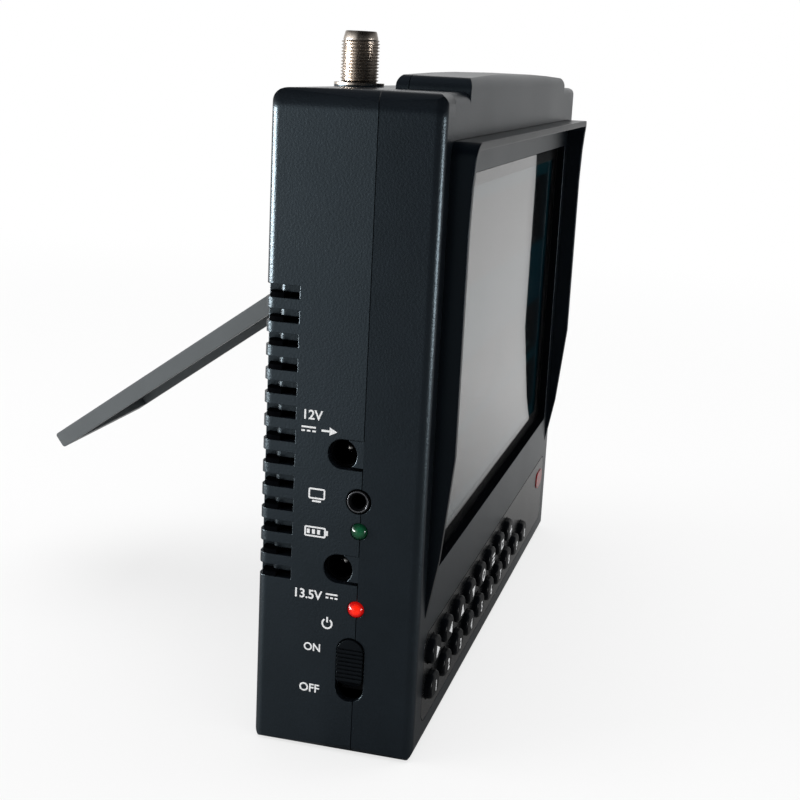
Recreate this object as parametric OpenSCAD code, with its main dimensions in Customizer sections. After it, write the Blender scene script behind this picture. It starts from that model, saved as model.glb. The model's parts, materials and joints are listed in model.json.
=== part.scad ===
// Hand-held satellite signal meter: a two-shell case with a hooded screen, two rows of keys,
// sockets and a slide switch on the left side, a threaded aerial socket on top and a folding
// stand behind. Sizes are in millimetres. +Z is up, the screen faces -Y, and the origin is the
// middle of the base.

/* [Case] */
// Width of the case across the screen, at the parting line
body_w = 195; // [186:1:220]
// Height of the case at its shoulders
body_h = 159.2; // [157.2:0.2:169.2]
// Depth of the case from front face to rear face
body_d = 40.8; // [38.8:0.2:50.8]
// Wall thickness of both shells
wall = 2.5; // [2.2:0.1:2.8]
// Draft of the side faces away from the parting line, in degrees
draft = 2; // [0.5:0.25:2.5]
// Radius of the upright edges
edge_r = 2.5; // [1.5:0.25:3.5]
// Radius of the top rear edge
top_r = 4.5; // [2:0.25:5]
// Fall of the top from the parting line to its rear edge
top_fall = 0.5; // [0:0.1:1]
// Radius of the base edges
base_r = 3; // [1:0.25:3.5]
// Radius of the corners seen from the front
corner_r = 3; // [2:0.25:4]
// Seam between the two shells
seam = 0.2; // [0.1:0.05:0.4]
// Half width of the brow that rises along the top
brow_half_w = 72.6; // [60:0.2:80]
// Height of the brow above the shoulders
brow_h = 4.2; // [3:0.1:6]
// Fall of the brow from its middle to its ends
brow_crown = 0.9; // [0.2:0.1:1.2]
// How far the brow runs back past the parting line
brow_back = 3.2; // [2:0.1:4]
// Radius of the brow's ends
brow_r = 3.4; // [1:0.1:4]
// Radius of the screw bosses in the case's corners
boss_r = 3.2; // [3:0.1:3.6]

/* [Screen] */
// Width of the window in the front shell
window_w = 168; // [150:1:172]
// Height of the window
window_h = 96; // [86:1:97]
// Height of the window's lower edge above the base
window_z = 44.2; // [43.2:0.1:46.2]
// Corner radius of the window
window_r = 2; // [1:0.25:4]
// Margin of the clear lens behind the window's edge
lens_margin = 1; // [0.5:0.1:1.2]
// Thickness of the clear lens
lens_t = 1.2; // [0.8:0.1:1.5]
// Width of the display module
lcd_w = 165; // [150:1:168]
// Height of the display module
lcd_h = 100; // [90:1:102]
// Thickness of the display module
lcd_t = 5.5; // [4:0.1:5.8]
// Thickness of the bracket behind the display
bracket_t = 1.5; // [1:0.1:1.8]
// Length of the standoffs between that bracket and the main board
standoff_l = 0.9; // [0.8:0.1:3]

/* [Sun hood] */
// Bare strip between the window and the hood
hood_strip = 4.2; // [3:0.1:5]
// Bare strip above the window, under the hood
hood_top_strip = 6.7; // [5:0.1:7]
// Wall thickness of the hood
hood_wall = 1.8; // [1.4:0.1:2.2]
// How far the hood stands out of the front face at its top
hood_d = 6.2; // [5.2:0.1:9]
// How far its sides stand out below their flare
hood_side_d = 5; // [4:0.1:6]
// Height over which the sides flare out to the top
hood_flare = 20; // [12:0.5:30]
// How far the hood stands out at its knee
hood_knee_d = 2.6; // [2:0.1:3.8]
// Height of the knee, where the taper steepens
hood_knee_z = 50.2; // [47:0.2:55]
// Height where the sides reach full depth
hood_full_z = 75.8; // [66:0.2:96]
// Height of the sides' lower tips
hood_tip_z = 35.2; // [33.2:0.2:39.2]
// Corner radius of the hood's outline
hood_r = 3.5; // [3:0.25:7]
// Depth of the groove that seats the hood
hood_seat = 1; // [0.6:0.1:1.2]

/* [Keypad] */
// Number of keys in the upper row
upper_keys = 8; // [4:1:10]
// Number of keys in the lower row
lower_keys = 10; // [4:1:10]
// Distance of the first key's middle from the left side
key_from_side = 16; // [15.4:0.1:17]
// Pitch of the keys along a row
key_pitch = 14; // [13.4:0.1:14.4]
// Height of the lower row above the base
lower_row_z = 14.6; // [13.2:0.1:16]
// Distance from the lower row up to the upper row
row_pitch = 9.5; // [8.8:0.1:10.4]
// Width of a key
key_w = 9; // [8:0.1:9.6]
// Height of a key
key_h = 6.4; // [5.6:0.1:6.6]
// How far a key stands out of the front face
key_proud = 1.8; // [1.4:0.1:2.6]
// Radius round a key's face
key_round = 0.9; // [0.5:0.1:1.2]
// Travel of a key
key_travel = 0.8; // [0.4:0.1:1]
// Clearance round a key in its hole
key_gap = 0.3; // [0.2:0.05:0.4]
// Lip of the flange that holds a key in
key_lip = 0.7; // [0.5:0.1:0.8]
// Thickness of that flange
key_flange_t = 1; // [0.6:0.1:1.2]
// Thickness of the glossy overlay round the keys
overlay_t = 0.5; // [0.3:0.1:0.8]
// Margin of the overlay from the case's sides
overlay_side = 9; // [8:0.1:10]
// Margin of the overlay below the lower row of keys
overlay_below = 5; // [3:0.1:6]
// Margin of the overlay above the upper row of keys
overlay_above = 2.3; // [1.5:0.1:3.5]
// Gap round the overlay in its recess
overlay_gap = 0.3; // [0.1:0.05:0.5]
// Distance of the remote receiver's window from the right side
remote_from_side = 17.5; // [15:0.5:20]
// Height of the remote receiver's window above the base
remote_z = 23; // [21.2:0.1:24.2]
// Width of the remote receiver's window
remote_w = 11; // [8:0.5:13]
// Height of the remote receiver's window
remote_h = 5.5; // [4:0.1:6]

/* [Left side] */
// Distance from the parting line forward to the main board's rear face
board_step = 1.9; // [1.7:0.1:2.1]
// Thickness of the circuit boards
board_t = 1.6; // [1.2:0.1:1.7]
// Height of the switch window's middle above the base
switch_z = 22.25; // [21:0.05:24]
// Distance from the switch window's middle up to the power light
power_step = 15.75; // [14.5:0.05:18]
// Distance from the power light up to the input socket
dc_in_step = 9.6; // [8.5:0.1:12]
// Distance from the input socket up to the charging light
charge_step = 10; // [8.5:0.1:12]
// Distance from the charging light up to the sound and picture socket
av_step = 7.3; // [6.5:0.1:9]
// Distance from that socket up to the output socket
dc_out_step = 11; // [9.5:0.1:14]
// Height of a supply socket's axis above the board
dc_axis_h = 7; // [6.8:0.1:7.4]
// Radius of the hole round a supply socket
dc_hole_r = 3.65; // [3.4:0.05:3.9]
// Radius of a supply socket's bore
dc_bore_r = 3.2; // [3:0.05:3.3]
// Radius of a supply socket's centre pin
dc_pin_r = 1.05; // [0.9:0.05:1.25]
// Depth of a supply socket's bore
dc_bore_d = 9.6; // [8:0.1:10.5]
// Dark gap below the tongue that closes a supply socket's notch
notch_gap = 0.8; // [0.4:0.1:1]
// Height of the sound and picture socket's axis above the board
av_axis_h = 2.6; // [2.5:0.05:2.8]
// Radius of that socket's collar
av_collar_r = 2.75; // [2.5:0.05:3]
// Radius of that socket's bore
av_bore_r = 1.8; // [1.75:0.01:1.9]
// Chamfer at the mouth of that bore
av_chamfer = 0.45; // [0.2:0.05:0.5]
// Radius of a light
led_r = 2; // [1.5:0.05:2]
// Height of a light's axis above the board
led_axis_h = 2.15; // [2.1:0.05:2.3]
// How far a light stands out of the side
led_proud = 1.4; // [1:0.1:2]
// Height of the switch window
switch_h = 16.5; // [16:0.1:17]
// Width of the switch window
switch_w = 7.1; // [6.6:0.1:7.4]
// Height of the switch's axis above the board
switch_axis_h = 3; // [2.8:0.1:3.2]
// Travel of the switch knob
switch_travel = 3; // [2:0.1:4]
// Clearance of the switch knob in its window
switch_gap = 0.3; // [0.25:0.05:0.4]
// How far the switch knob stands out of the side
knob_proud = 0.5; // [0.2:0.1:1]
// Number of grip grooves across the knob
knob_grooves = 8; // [5:1:9]

/* [Vents] */
// Number of vent grooves in each rear corner
vents = 13; // [8:1:13]
// Height of the lowest groove's lower edge above the base
vent_z = 43.1; // [39.2:0.1:45.2]
// Pitch of the grooves
vent_pitch = 5.68; // [5:0.01:5.8]
// Height of a groove
vent_h = 3.1; // [2.4:0.1:3.4]
// Length of a groove along the side, from the rear face
vent_side = 8.7; // [8:0.1:9.4]
// Length of a groove along the back
vent_back = 4.6; // [4:0.1:5]
// Depth of a groove
vent_d = 3; // [2.4:0.1:3.2]
// Wall behind the grooves
vent_floor = 1.8; // [1.2:0.1:2]
// Height of the slit that lets the air through
slit_h = 1.2; // [0.8:0.1:1.6]

/* [Aerial socket] */
// Distance of the aerial socket from the left side
aerial_from_side = 41.5; // [38:0.5:46]
// Distance of the aerial socket from the rear face
aerial_from_rear = 8.6; // [8.4:0.1:9]
// Radius over the thread
aerial_r = 4.75; // [4.5:0.05:4.8]
// Height of the socket above the shoulder
aerial_h = 13; // [11:0.5:15]
// Length of the plain taper at the socket's mouth
aerial_taper = 1.8; // [1:0.1:2.5]
// Radius at the socket's mouth
aerial_mouth_r = 3.8; // [3.6:0.05:4.2]
// Radius of the socket's bore
aerial_bore_r = 3.2; // [2.8:0.1:3.4]
// Rim of the washer round the thread
washer_rim = 1.5; // [1:0.05:2]
// Thickness of the washer
washer_t = 0.6; // [0.4:0.1:1]
// Wall of the nut inside the case, at its flats
nut_wall = 0.9; // [0.8:0.05:1]
// Thickness of the nut inside the case
nut_t = 2.6; // [2:0.1:3]

/* [Stand] */
// Width of the stand
stand_w = 52; // [46:0.5:52]
// Length of the stand from its pivot to its foot
stand_l = 115.4; // [100:0.1:115.4]
// Thickness of the stand
stand_t = 4.7; // [4.4:0.1:5]
// Height of the pivot above the base
stand_z = 116; // [116:0.1:118]
// Angle that the open stand makes with the rear face, in degrees
stand_open = 53.9; // [0:0.1:60]
// Gap round the stand in its recess
stand_gap = 0.5; // [0.4:0.05:0.8]
// Radius of the stand's pin
pin_r = 1.5; // [1.2:0.05:1.6]
// Wall round the stand's recess
tub_wall = 1.8; // [1.5:0.1:2.2]
// Wall that holds the pin's ends
tub_side = 3; // [2.5:0.1:3.2]
// Skin of the stand over its hollow underside
stand_skin = 2; // [1.4:0.1:2.4]

/* [Inside] */
// Distance of the tuner can's left side from the aerial socket's axis
tuner_left = 24; // [20:0.5:26]
// Width of the tuner can
tuner_w = 48; // [40:1:49]
// Height of the tuner can
tuner_h = 27; // [22:1:30]
// Thickness of the tuner can
tuner_t = 12.3; // [11:0.1:12.6]
// Gap between the tuner can and the shoulder's inner face
tuner_drop = 7.5; // [6:0.1:9]
// Number of battery cells
cells = 2; // [1:1:2]
// Radius of a battery cell
cell_r = 9.15; // [8.5:0.05:9.2]
// Length of a battery cell
cell_l = 65; // [50:1:66]
// Gap between two cells
cell_gap = 0.7; // [0.4:0.1:2]
// Height of the cells' lower ends above the base
cell_z = 31; // [30:0.5:34]
// Distance of the outer cell's axis from the right side
cell_from_side = 18; // [17:0.5:22]
// Radius of the speaker
speaker_r = 18; // [14:0.5:19]
// Thickness of the speaker's frame
speaker_t = 4; // [3:0.5:5]
// Radius of the speaker's magnet
magnet_r = 10; // [8:0.5:11]
// Thickness of the speaker's magnet
magnet_t = 5; // [4:0.5:6]
// Distance of the speaker's middle from the left side
speaker_from_side = 37; // [33:0.5:40]
// Height of the speaker above the base
speaker_z = 45; // [40:0.5:60]

/* [Hidden] */
$fn = 48;
// Clearance of parts that are pushed or screwed together
fit = 0.05;
// Distance by which a cut runs past the face that it opens
over = 1;

x_side = body_w / 2;
y_front = -body_d / 2;
y_rear = body_d / 2;
// The front shell is as deep as the screen, bracket and board that are stacked in it
front_d = wall + lens_t + lcd_t + bracket_t + standoff_l + board_t + board_step;
y_part = y_front + front_d;
rear_d = body_d - front_d;
// Lean of the sides at the front and rear faces, in whole hundredths of a millimetre
front_lean = round(front_d * tan(draft) * 100) / 100;
rear_lean = round(rear_d * tan(draft) * 100) / 100;
x_in = x_side - wall;
y_in = y_front + wall;
y_back_in = y_rear - wall;
top_in = body_h - wall;
min_r = 0.4;

boss_bite = 0.5;
boss_x = x_in - boss_r + boss_bite;
boss_z = wall + boss_r - boss_bite;
case_bosses = [for (sx = [-1, 1], z = [boss_z, body_h - boss_z]) [sx * boss_x, z]];
case_screw_r = 1.4;
case_head_r = 2.6;
case_head_t = 2;
case_head_seat = y_part + 6;

window_top = window_z + window_h;
lcd_mid_z = window_z + window_h / 2;
lens_y = y_in;
lcd_y = lens_y + lens_t;
bracket_y = lcd_y + lcd_t;
board_front = bracket_y + bracket_t + standoff_l;
board_y = board_front + board_t;
board_x = x_in - 1;
board_low = 11;
board_high = top_in - 9.5;

hood_x = window_w / 2 + hood_strip + hood_wall;
hood_top = window_top + hood_top_strip + hood_wall;

key_x0 = -x_side + key_from_side;
upper_row_z = lower_row_z + row_pitch;
overlay_z = lower_row_z - key_h / 2 - overlay_below;
overlay_top = upper_row_z + key_h / 2 + overlay_above;
mat_t = fit + key_flange_t + key_travel + 0.6;
mat_y = y_in;
keypad_y = mat_y + mat_t;
keypad_x = x_in - 2.5;
keypad_clear = 0.8;
keypad_low = overlay_z - 0.4;
keypad_high = overlay_top + 0.4;
keypad_post_r = 1.6;
keypad_screw_r = 0.75;
keypad_head_r = 1.7;
keypad_head_t = 1.2;
keypad_post_z = (upper_row_z + lower_row_z) / 2;
keypad_posts = [key_x0 + 0.5 * key_pitch, key_x0 + 5.5 * key_pitch, x_side - 34];
remote_x = x_side - remote_from_side;
overlay_r = 4;

post_r = 2.6;
post_x = x_side - 8;
post_low_z = keypad_high + 4;
post_high_z = top_in - 12;
board_posts = [for (sx = [-1, 1], z = [post_low_z, post_high_z]) [sx * post_x, z]];
board_screw_r = 1.15;
board_head_r = 2.2;
board_head_t = 1.6;

power_z = switch_z + power_step;
dc_in_z = power_z + dc_in_step;
charge_z = dc_in_z + charge_step;
av_z = charge_z + av_step;
dc_out_z = av_z + dc_out_step;

av_y = board_y + av_axis_h;
av_hole_r = av_collar_r + 0.35;
led_y = board_y + led_axis_h;
led_hole_r = led_r + 0.1;
dc_y = board_y + dc_axis_h;
dc_half = 4.5;
tongue_end = dc_y - 0.4 * dc_hole_r;
dc_body_l = dc_bore_d + 4;
dc_pin_set = 2.9;
switch_y = board_y + switch_axis_h;
side_board_x = -x_in + 0.4;
socket_x = -x_in + 0.5;

knob_w = switch_w - 2 * switch_gap;
knob_top = switch_z + switch_h / 2 - switch_gap;
knob_h = switch_h - 2 * switch_gap - switch_travel;
knob_low = knob_top - knob_h;
knob_ramp = 2.3;
knob_stem_h = 4;
knob_stem_w = 2;
knob_stem_l = 3;

aerial_x = x_side - aerial_from_side;
aerial_y = y_rear - aerial_from_rear;
washer_r = aerial_r + washer_rim;
aerial_foot = top_in - tuner_drop;
aerial_tip = body_h + aerial_h;
aerial_shank_r = aerial_r - 0.6;
aerial_hole_r = aerial_r + 0.1;
nut_corners = 2 * (aerial_shank_r + fit + nut_wall) / cos(30);

stand_y = y_rear - 0.2 - stand_t / 2;
recess_d = stand_t + 0.6;
recess_half = stand_w / 2 + stand_gap;
recess_top = stand_z + stand_t / 2 + stand_gap;
tub_y = y_rear - recess_d - tub_wall;
tub_half = recess_half + tub_side;

speaker_slots = 6;
speaker_slot_pitch = 4;
speaker_x = x_side - speaker_from_side;
cell_y = y_back_in - 1.4 - cell_r;
cell_pitch = 2 * cell_r + cell_gap;
cell_x = x_side - cell_from_side - (cells - 1) * cell_pitch;
cradle_y = cell_y + 2;

// Directions: an outline of (y, z) runs along X, one of (x, z) along Y, one of (x, y) along Z
module along_x(from, to) {
    translate([from, 0, 0]) rotate([90, 0, 90]) linear_extrude(to - from) children();
}

module along_y(from, to) {
    translate([0, to, 0]) rotate([90, 0, 0]) linear_extrude(to - from) children();
}

module along_z(from, to) {
    translate([0, 0, from]) linear_extrude(to - from) children();
}

module rod_x(from, to, y, z, r) {
    translate([from, y, z]) rotate([0, 90, 0]) cylinder(h = to - from, r = r);
}

module rod_y(from, to, x, z, r) {
    translate([x, from, z]) rotate([-90, 0, 0]) cylinder(h = to - from, r = r);
}

module rod_z(from, to, x, y, r) {
    translate([x, y, from]) cylinder(h = to - from, r = r);
}

module box(low, high) {
    translate(low) cube(high - low);
}

// Convex outline with an arc of its own radius at each corner
function unit(v) = v / norm(v);
function half_angle(a, p, b) = acos(unit(a - p) * unit(b - p)) / 2;
function arc_ends(a, p, b, r) = r == 0 ? [p] :
    [p + unit(a - p) * r / tan(half_angle(a, p, b)), p + unit(b - p) * r / tan(half_angle(a, p, b))];
function arc_middle(a, p, b, r) =
    p + unit(unit(a - p) + unit(b - p)) * r / sin(half_angle(a, p, b));

module rounded_outline(points, radii) {
    n = len(points);
    polygon([for (i = [0:n - 1])
        each arc_ends(points[(i + n - 1) % n], points[i], points[(i + 1) % n], radii[i])]);
    for (i = [0:n - 1])
        if (radii[i] > 0)
            translate(arc_middle(points[(i + n - 1) % n], points[i], points[(i + 1) % n], radii[i]))
                circle(r = radii[i]);
}

module rounded_box(low, high, r) {
    rounded_outline([low, [high.x, low.y], high, [low.x, high.y]], [r, r, r, r]);
}

// Slot with round ends, longer along the first axis unless it is stood up
module stadium(length, width) {
    straight = length - width;
    square([straight, width], center = true);
    for (s = [-1, 1])
        translate([s * straight / 2, 0]) circle(d = width);
}

// Outer form of the case, or its hollow when inset by the wall. Each upright edge is a quarter arc.
module case_plan(inset) {
    front = x_side - front_lean - inset;
    rear = x_side - rear_lean - inset;
    middle = x_side - inset;
    low = y_front + inset;
    high = y_rear - inset;
    r = max(edge_r - inset, min_r);
    polygon([[-front, low + r], [-front + r, low], [front - r, low], [front, low + r], [middle, y_part],
             [rear, high - r], [rear - r, high], [-rear + r, high], [-rear, high - r], [-middle, y_part]]);
    for (s = [-1, 1]) {
        translate([s * (front - r), low + r]) circle(r = r);
        translate([s * (rear - r), high - r]) circle(r = r);
    }
}

module case_side(inset) {
    front = y_front + inset;
    back = y_rear - inset;
    low = inset;
    high = body_h - inset;
    fallen = high - top_fall;
    base = max(base_r - inset, min_r);
    top = max(top_r - inset, min_r);
    edge = max(edge_r - inset, min_r);
    polygon([[front + base, low], [back - base, low], [back, low + base], [back, fallen - top],
             [back - top, fallen], [y_part, high], [front + edge, high], [front, high - edge],
             [front, low + base]]);
    for (y = [front + base, back - base])
        translate([y, low + base]) circle(r = base);
    translate([back - top, fallen - top]) circle(r = top);
    translate([front + edge, high - edge]) circle(r = edge);
}

module case_face(inset) {
    r = max(corner_r - inset, min_r);
    rounded_box([-x_side + inset, inset], [x_side - inset, body_h - inset], r);
}

module case_block(inset) {
    intersection() {
        along_z(0, body_h) case_plan(inset);
        along_x(-x_side, x_side) case_side(inset);
        along_y(y_front, y_rear) case_face(inset);
    }
}

// Brow along the top, crowned in five flats from end to end
module brow_block(inset) {
    low = body_h - 12;
    high = body_h + brow_h - inset;
    end = high - brow_crown;
    shoulder = high - 0.375 * brow_crown;
    half = brow_half_w - inset;
    r = max(brow_r - inset, min_r);
    third = round((half - r) / 3 * 100) / 100;
    rear = y_part + brow_back - inset;
    intersection() {
        along_y(y_front + inset, rear) {
            polygon([[-half, low], [half, low], [half, end - r], [half - r, end], [2 * third, shoulder],
                     [third, high], [-third, high], [-2 * third, shoulder], [-half + r, end], [-half, end - r]]);
            for (s = [-1, 1])
                translate([s * (half - r), end - r]) circle(r = r);
        }
        along_x(-half, half)
            rounded_outline([[y_front + inset, low], [rear, low], [rear, high], [y_front + inset, high]],
                            [0, 0, r, r]);
    }
}

module case_form(inset) {
    case_block(inset);
    brow_block(inset);
}

// Openings in the left side that both shells share
module side_openings() {
    out = -x_side - over;
    inner = -x_in + over;
    rod_x(out, inner, av_y, av_z, av_hole_r);
    for (z = [charge_z, power_z])
        rod_x(out, inner, led_y, z, led_hole_r);
    along_x(out, inner)
        translate([switch_y, switch_z]) rotate(90) stadium(switch_h, switch_w);
    for (z = [dc_out_z, dc_in_z])
        rod_x(out, inner, dc_y, z, dc_hole_r);
}

module dc_notch(z) {
    along_x(-x_side - over, -x_in + over)
        translate([y_part - over, z - dc_hole_r]) square([dc_y - y_part + over, 2 * dc_hole_r]);
}

// Tongue of the front shell that closes a notch round its socket
module dc_tongue(z) {
    along_x(-x_side - over, -x_in + over)
        translate([y_part - over, z - dc_hole_r + notch_gap])
            square([tongue_end - y_part + over, 2 * dc_hole_r - notch_gap - fit]);
}

// Boss that fills its corner of the case
module boss_column(b) {
    corner = [b.x < 0 ? -x_side : x_side, b.y < body_h / 2 ? 0 : body_h];
    rod_y(y_front, y_rear, b.x, b.y, boss_r);
    box([min(b.x, corner.x), y_front, min(b.y, corner.y)], [max(b.x, corner.x), y_rear, max(b.y, corner.y)]);
}

module front_region() {
    box([-x_side - over, y_front - over, -over], [x_side + over, y_part - seam / 2, body_h + brow_h + over]);
    for (z = [dc_out_z, dc_in_z])
        dc_tongue(z);
}

module rear_region() {
    difference() {
        box([-x_side - over, y_part + seam / 2, -over], [x_side + over, y_rear + over, body_h + brow_h + over]);
        for (z = [dc_out_z, dc_in_z])
            dc_notch(z);
    }
}

module window_outline(grow) {
    rounded_box([-window_w / 2 - grow, window_z - grow], [window_w / 2 + grow, window_top + grow],
                window_r + max(grow, 0));
}

// Outline of the hood's wall seen from the front, grown on both faces for its groove
module hood_outline(grow) {
    half = hood_x + grow;
    inner = hood_x - hood_wall - grow;
    low = hood_tip_z - grow;
    difference() {
        rounded_outline([[-half, low], [half, low], [half, hood_top + grow], [-half, hood_top + grow]],
                        [0, 0, hood_r, hood_r]);
        rounded_outline([[-inner, low - over], [inner, low - over],
                         [inner, hood_top - hood_wall - grow], [-inner, hood_top - hood_wall - grow]],
                        [0, 0, hood_r - hood_wall, hood_r - hood_wall]);
    }
}

module overlay_outline(grow) {
    half = x_side - overlay_side + grow;
    rounded_box([-half, overlay_z - grow], [half, overlay_top + grow], overlay_r + grow);
}

function key_spot(row, i) = [key_x0 + i * key_pitch, row == "upper" ? upper_row_z : lower_row_z];
key_spots = concat([for (i = [0:upper_keys - 1]) key_spot("upper", i)],
                   [for (i = [0:lower_keys - 1]) key_spot("lower", i)]);

module key_holes(from, to, grow) {
    for (spot = key_spots)
        along_y(from, to) translate(spot) stadium(key_w + 2 * grow, key_h + 2 * grow);
}

module remote_hole(from, to, grow) {
    along_y(from, to) translate([remote_x, remote_z]) stadium(remote_w + 2 * grow, remote_h + 2 * grow);
}

// Hollow of the front shell, which leaves the bosses and posts standing
module front_hollow() {
    difference() {
        case_form(wall);
        for (b = case_bosses)
            boss_column(b);
        for (b = board_posts)
            rod_y(y_front, bracket_y, b.x, b.y, post_r);
        for (x = keypad_posts)
            rod_y(y_front, keypad_y, x, keypad_post_z, keypad_post_r);
    }
}

module front_shell() color("#26282b") {
    difference() {
        intersection() {
            case_form(0);
            front_region();
        }
        front_hollow();
        side_openings();
        along_y(y_front - over, y_in + over) window_outline(0);
        along_y(y_front - over, y_front + hood_seat) hood_outline(fit);
        along_y(y_front - over, y_front + overlay_t) overlay_outline(overlay_gap);
        key_holes(y_front - over, y_in + over, key_gap);
        remote_hole(y_front - over, y_in + over, fit);
        for (b = case_bosses)
            rod_y(y_in + over, y_part + over, b.x, b.y, case_screw_r + fit);
        for (b = board_posts)
            rod_y(y_in + 0.5, bracket_y + over, b.x, b.y, board_screw_r + fit);
        for (x = keypad_posts)
            rod_y(y_in - 0.5, keypad_y + over, x, keypad_post_z, keypad_screw_r + fit);
    }
}

// Corner column that the vent grooves are cut into, at the rear left
module vent_column() {
    low = vent_z - 3;
    high = vent_z + vents * vent_pitch + 1;
    depth = vent_d + vent_floor;
    difference() {
        box([-x_side - over, y_rear - vent_side - 1.5, low], [-x_side + vent_back + 1.5, y_rear + over, high]);
        box([-x_side + depth, y_rear - vent_side - 1.5 - over, low - over],
            [-x_side + vent_back + 1.5 + over, y_rear - depth, high + over]);
    }
}

module vent_groove_plan() {
    core_x = -x_side + vent_d;
    core_y = y_rear - vent_d;
    difference() {
        translate([-x_side - over, y_rear - vent_side]) square([vent_back + over, vent_side + over]);
        rounded_outline([[core_x, core_y - 2 * vent_side], [core_x + 2 * vent_back, core_y - 2 * vent_side],
                         [core_x + 2 * vent_back, core_y], [core_x, core_y]],
                        [0, 0, 0, vent_d / 2]);
    }
}

// Grooves, each with a slit along its foot that lets the air through
module vent_cuts() {
    depth = vent_d + vent_floor;
    for (i = [0:vents - 1]) {
        z = vent_z + i * vent_pitch;
        along_z(z, z + vent_h) vent_groove_plan();
        box([-x_side - over, y_rear - vent_side, z], [-x_side + depth + over, y_rear - depth, z + slit_h]);
        box([-x_side - over, y_rear - depth - over, z], [-x_side + vent_back, y_rear + over, z + slit_h]);
    }
}

module both_sides() {
    children();
    mirror([1, 0, 0]) children();
}

// Hollow of the rear shell, which leaves the vent columns, the bosses and the stand's tub standing
module rear_hollow() {
    difference() {
        case_block(wall);
        both_sides() vent_column();
        for (b = case_bosses)
            boss_column(b);
        box([-tub_half, tub_y, 0], [tub_half, y_rear, recess_top + tub_wall]);
    }
}

// The top is flat above and below the aerial socket's hole, for the washer and the nut
module rear_shell() color("#2b2f34") {
    difference() {
        union() {
            intersection() {
                case_form(0);
                rear_region();
            }
            rod_z(top_in, body_h, -aerial_x, aerial_y, washer_r);
        }
        rear_hollow();
        side_openings();
        both_sides() vent_cuts();
        box([-recess_half, y_rear - recess_d, -over], [recess_half, y_rear + over, recess_top]);
        rod_x(-tub_half - over, tub_half + over, stand_y, stand_z, pin_r + fit / 2);
        rod_z(top_in - over, body_h + over, -aerial_x, aerial_y, aerial_hole_r);
        rod_z(top_in - nut_t, top_in, -aerial_x, aerial_y, nut_corners / 2 + 0.4);
        for (b = case_bosses) {
            rod_y(y_part - over, y_rear, b.x, b.y, case_screw_r + 0.2);
            rod_y(case_head_seat, y_rear + over, b.x, b.y, case_head_r + 0.2);
        }
        for (i = [0:speaker_slots - 1]) {
            z = speaker_z + (i - (speaker_slots - 1) / 2) * speaker_slot_pitch;
            half = sqrt(pow(speaker_r - 3, 2) - pow(z - speaker_z, 2));
            along_y(y_back_in - over, y_rear + over)
                translate([-speaker_x, z]) stadium(2 * half, 1.5 * slit_h);
        }
    }
}

module sun_hood() color("#1d1e20") {
    seat = y_front + hood_seat - fit;
    flare_d = hood_d - hood_side_d;
    intersection() {
        along_y(y_front - hood_d, seat) hood_outline(0);
        along_x(-hood_x, hood_x)
            polygon([[seat, hood_tip_z], [y_front, hood_tip_z], [y_front - hood_knee_d, hood_knee_z],
                     [y_front - hood_side_d, hood_full_z], [y_front - hood_side_d, hood_top - hood_flare],
                     [y_front - hood_side_d - 0.25 * flare_d, hood_top - 0.5 * hood_flare],
                     [y_front - hood_side_d - 0.6 * flare_d, hood_top - 0.22 * hood_flare],
                     [y_front - hood_d, hood_top], [seat, hood_top]]);
    }
}

module screen_lens() color("#5a6068", 0.5) {
    along_y(lens_y, lens_y + lens_t) window_outline(lens_margin);
}

module lcd_module() color("#8d9096") {
    along_y(lcd_y, lcd_y + lcd_t)
        rounded_box([-lcd_w / 2, lcd_mid_z - lcd_h / 2], [lcd_w / 2, lcd_mid_z + lcd_h / 2], 1);
}

// Plate that clamps the display and carries the main board
module lcd_bracket() color("#b8babd") {
    difference() {
        union() {
            along_y(bracket_y, bracket_y + bracket_t)
                rounded_box([-post_x - post_r, post_low_z - post_r], [post_x + post_r, post_high_z + post_r], post_r);
            for (b = board_posts)
                rod_y(bracket_y, board_front, b.x, b.y, post_r);
        }
        for (b = board_posts)
            rod_y(bracket_y - over, board_front + over, b.x, b.y, board_screw_r + 0.2);
    }
}

module keypad_overlay() color("#2f3236") {
    difference() {
        along_y(y_front, y_front + overlay_t) overlay_outline(0);
        key_holes(y_front - over, y_front + overlay_t + over, key_gap);
        remote_hole(y_front - over, y_front + overlay_t + over, fit);
    }
}

// Outline of the mat and board behind the keys, notched round the lower bosses
module keypad_outline() {
    notch_x = boss_x - boss_r - keypad_clear;
    notch_z = boss_z + boss_r + keypad_clear;
    difference() {
        rounded_box([-keypad_x, keypad_low], [keypad_x, keypad_high], 1);
        for (s = [-1, 1])
            translate([s * notch_x - (s < 0 ? x_side : 0), -over]) square([x_side, notch_z + over]);
    }
}

module keypad_mat() color("#3a3b3d") {
    difference() {
        along_y(mat_y, mat_y + mat_t)
            keypad_outline();
        key_holes(mat_y - over, mat_y + mat_t + over, key_lip + key_gap);
        remote_hole(mat_y - over, mat_y + mat_t + over, 1.5);
        for (x = keypad_posts)
            rod_y(mat_y - over, mat_y + mat_t + over, x, keypad_post_z, keypad_post_r + fit);
    }
}

module keypad_board() color("#1f5a35") {
    difference() {
        along_y(keypad_y, keypad_y + board_t)
            keypad_outline();
        for (x = keypad_posts)
            rod_y(keypad_y - over, keypad_y + board_t + over, x, keypad_post_z, keypad_screw_r + 0.2);
    }
}

// Half section of a key's cap, with its face rounded into its side
module key_section(foot) {
    r = key_h / 2;
    translate([0, foot]) square([r, key_proud - key_round - foot]);
    translate([0, foot]) square([r - key_round, key_proud - foot]);
    translate([r - key_round, key_proud - key_round]) circle(r = key_round);
}

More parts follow.
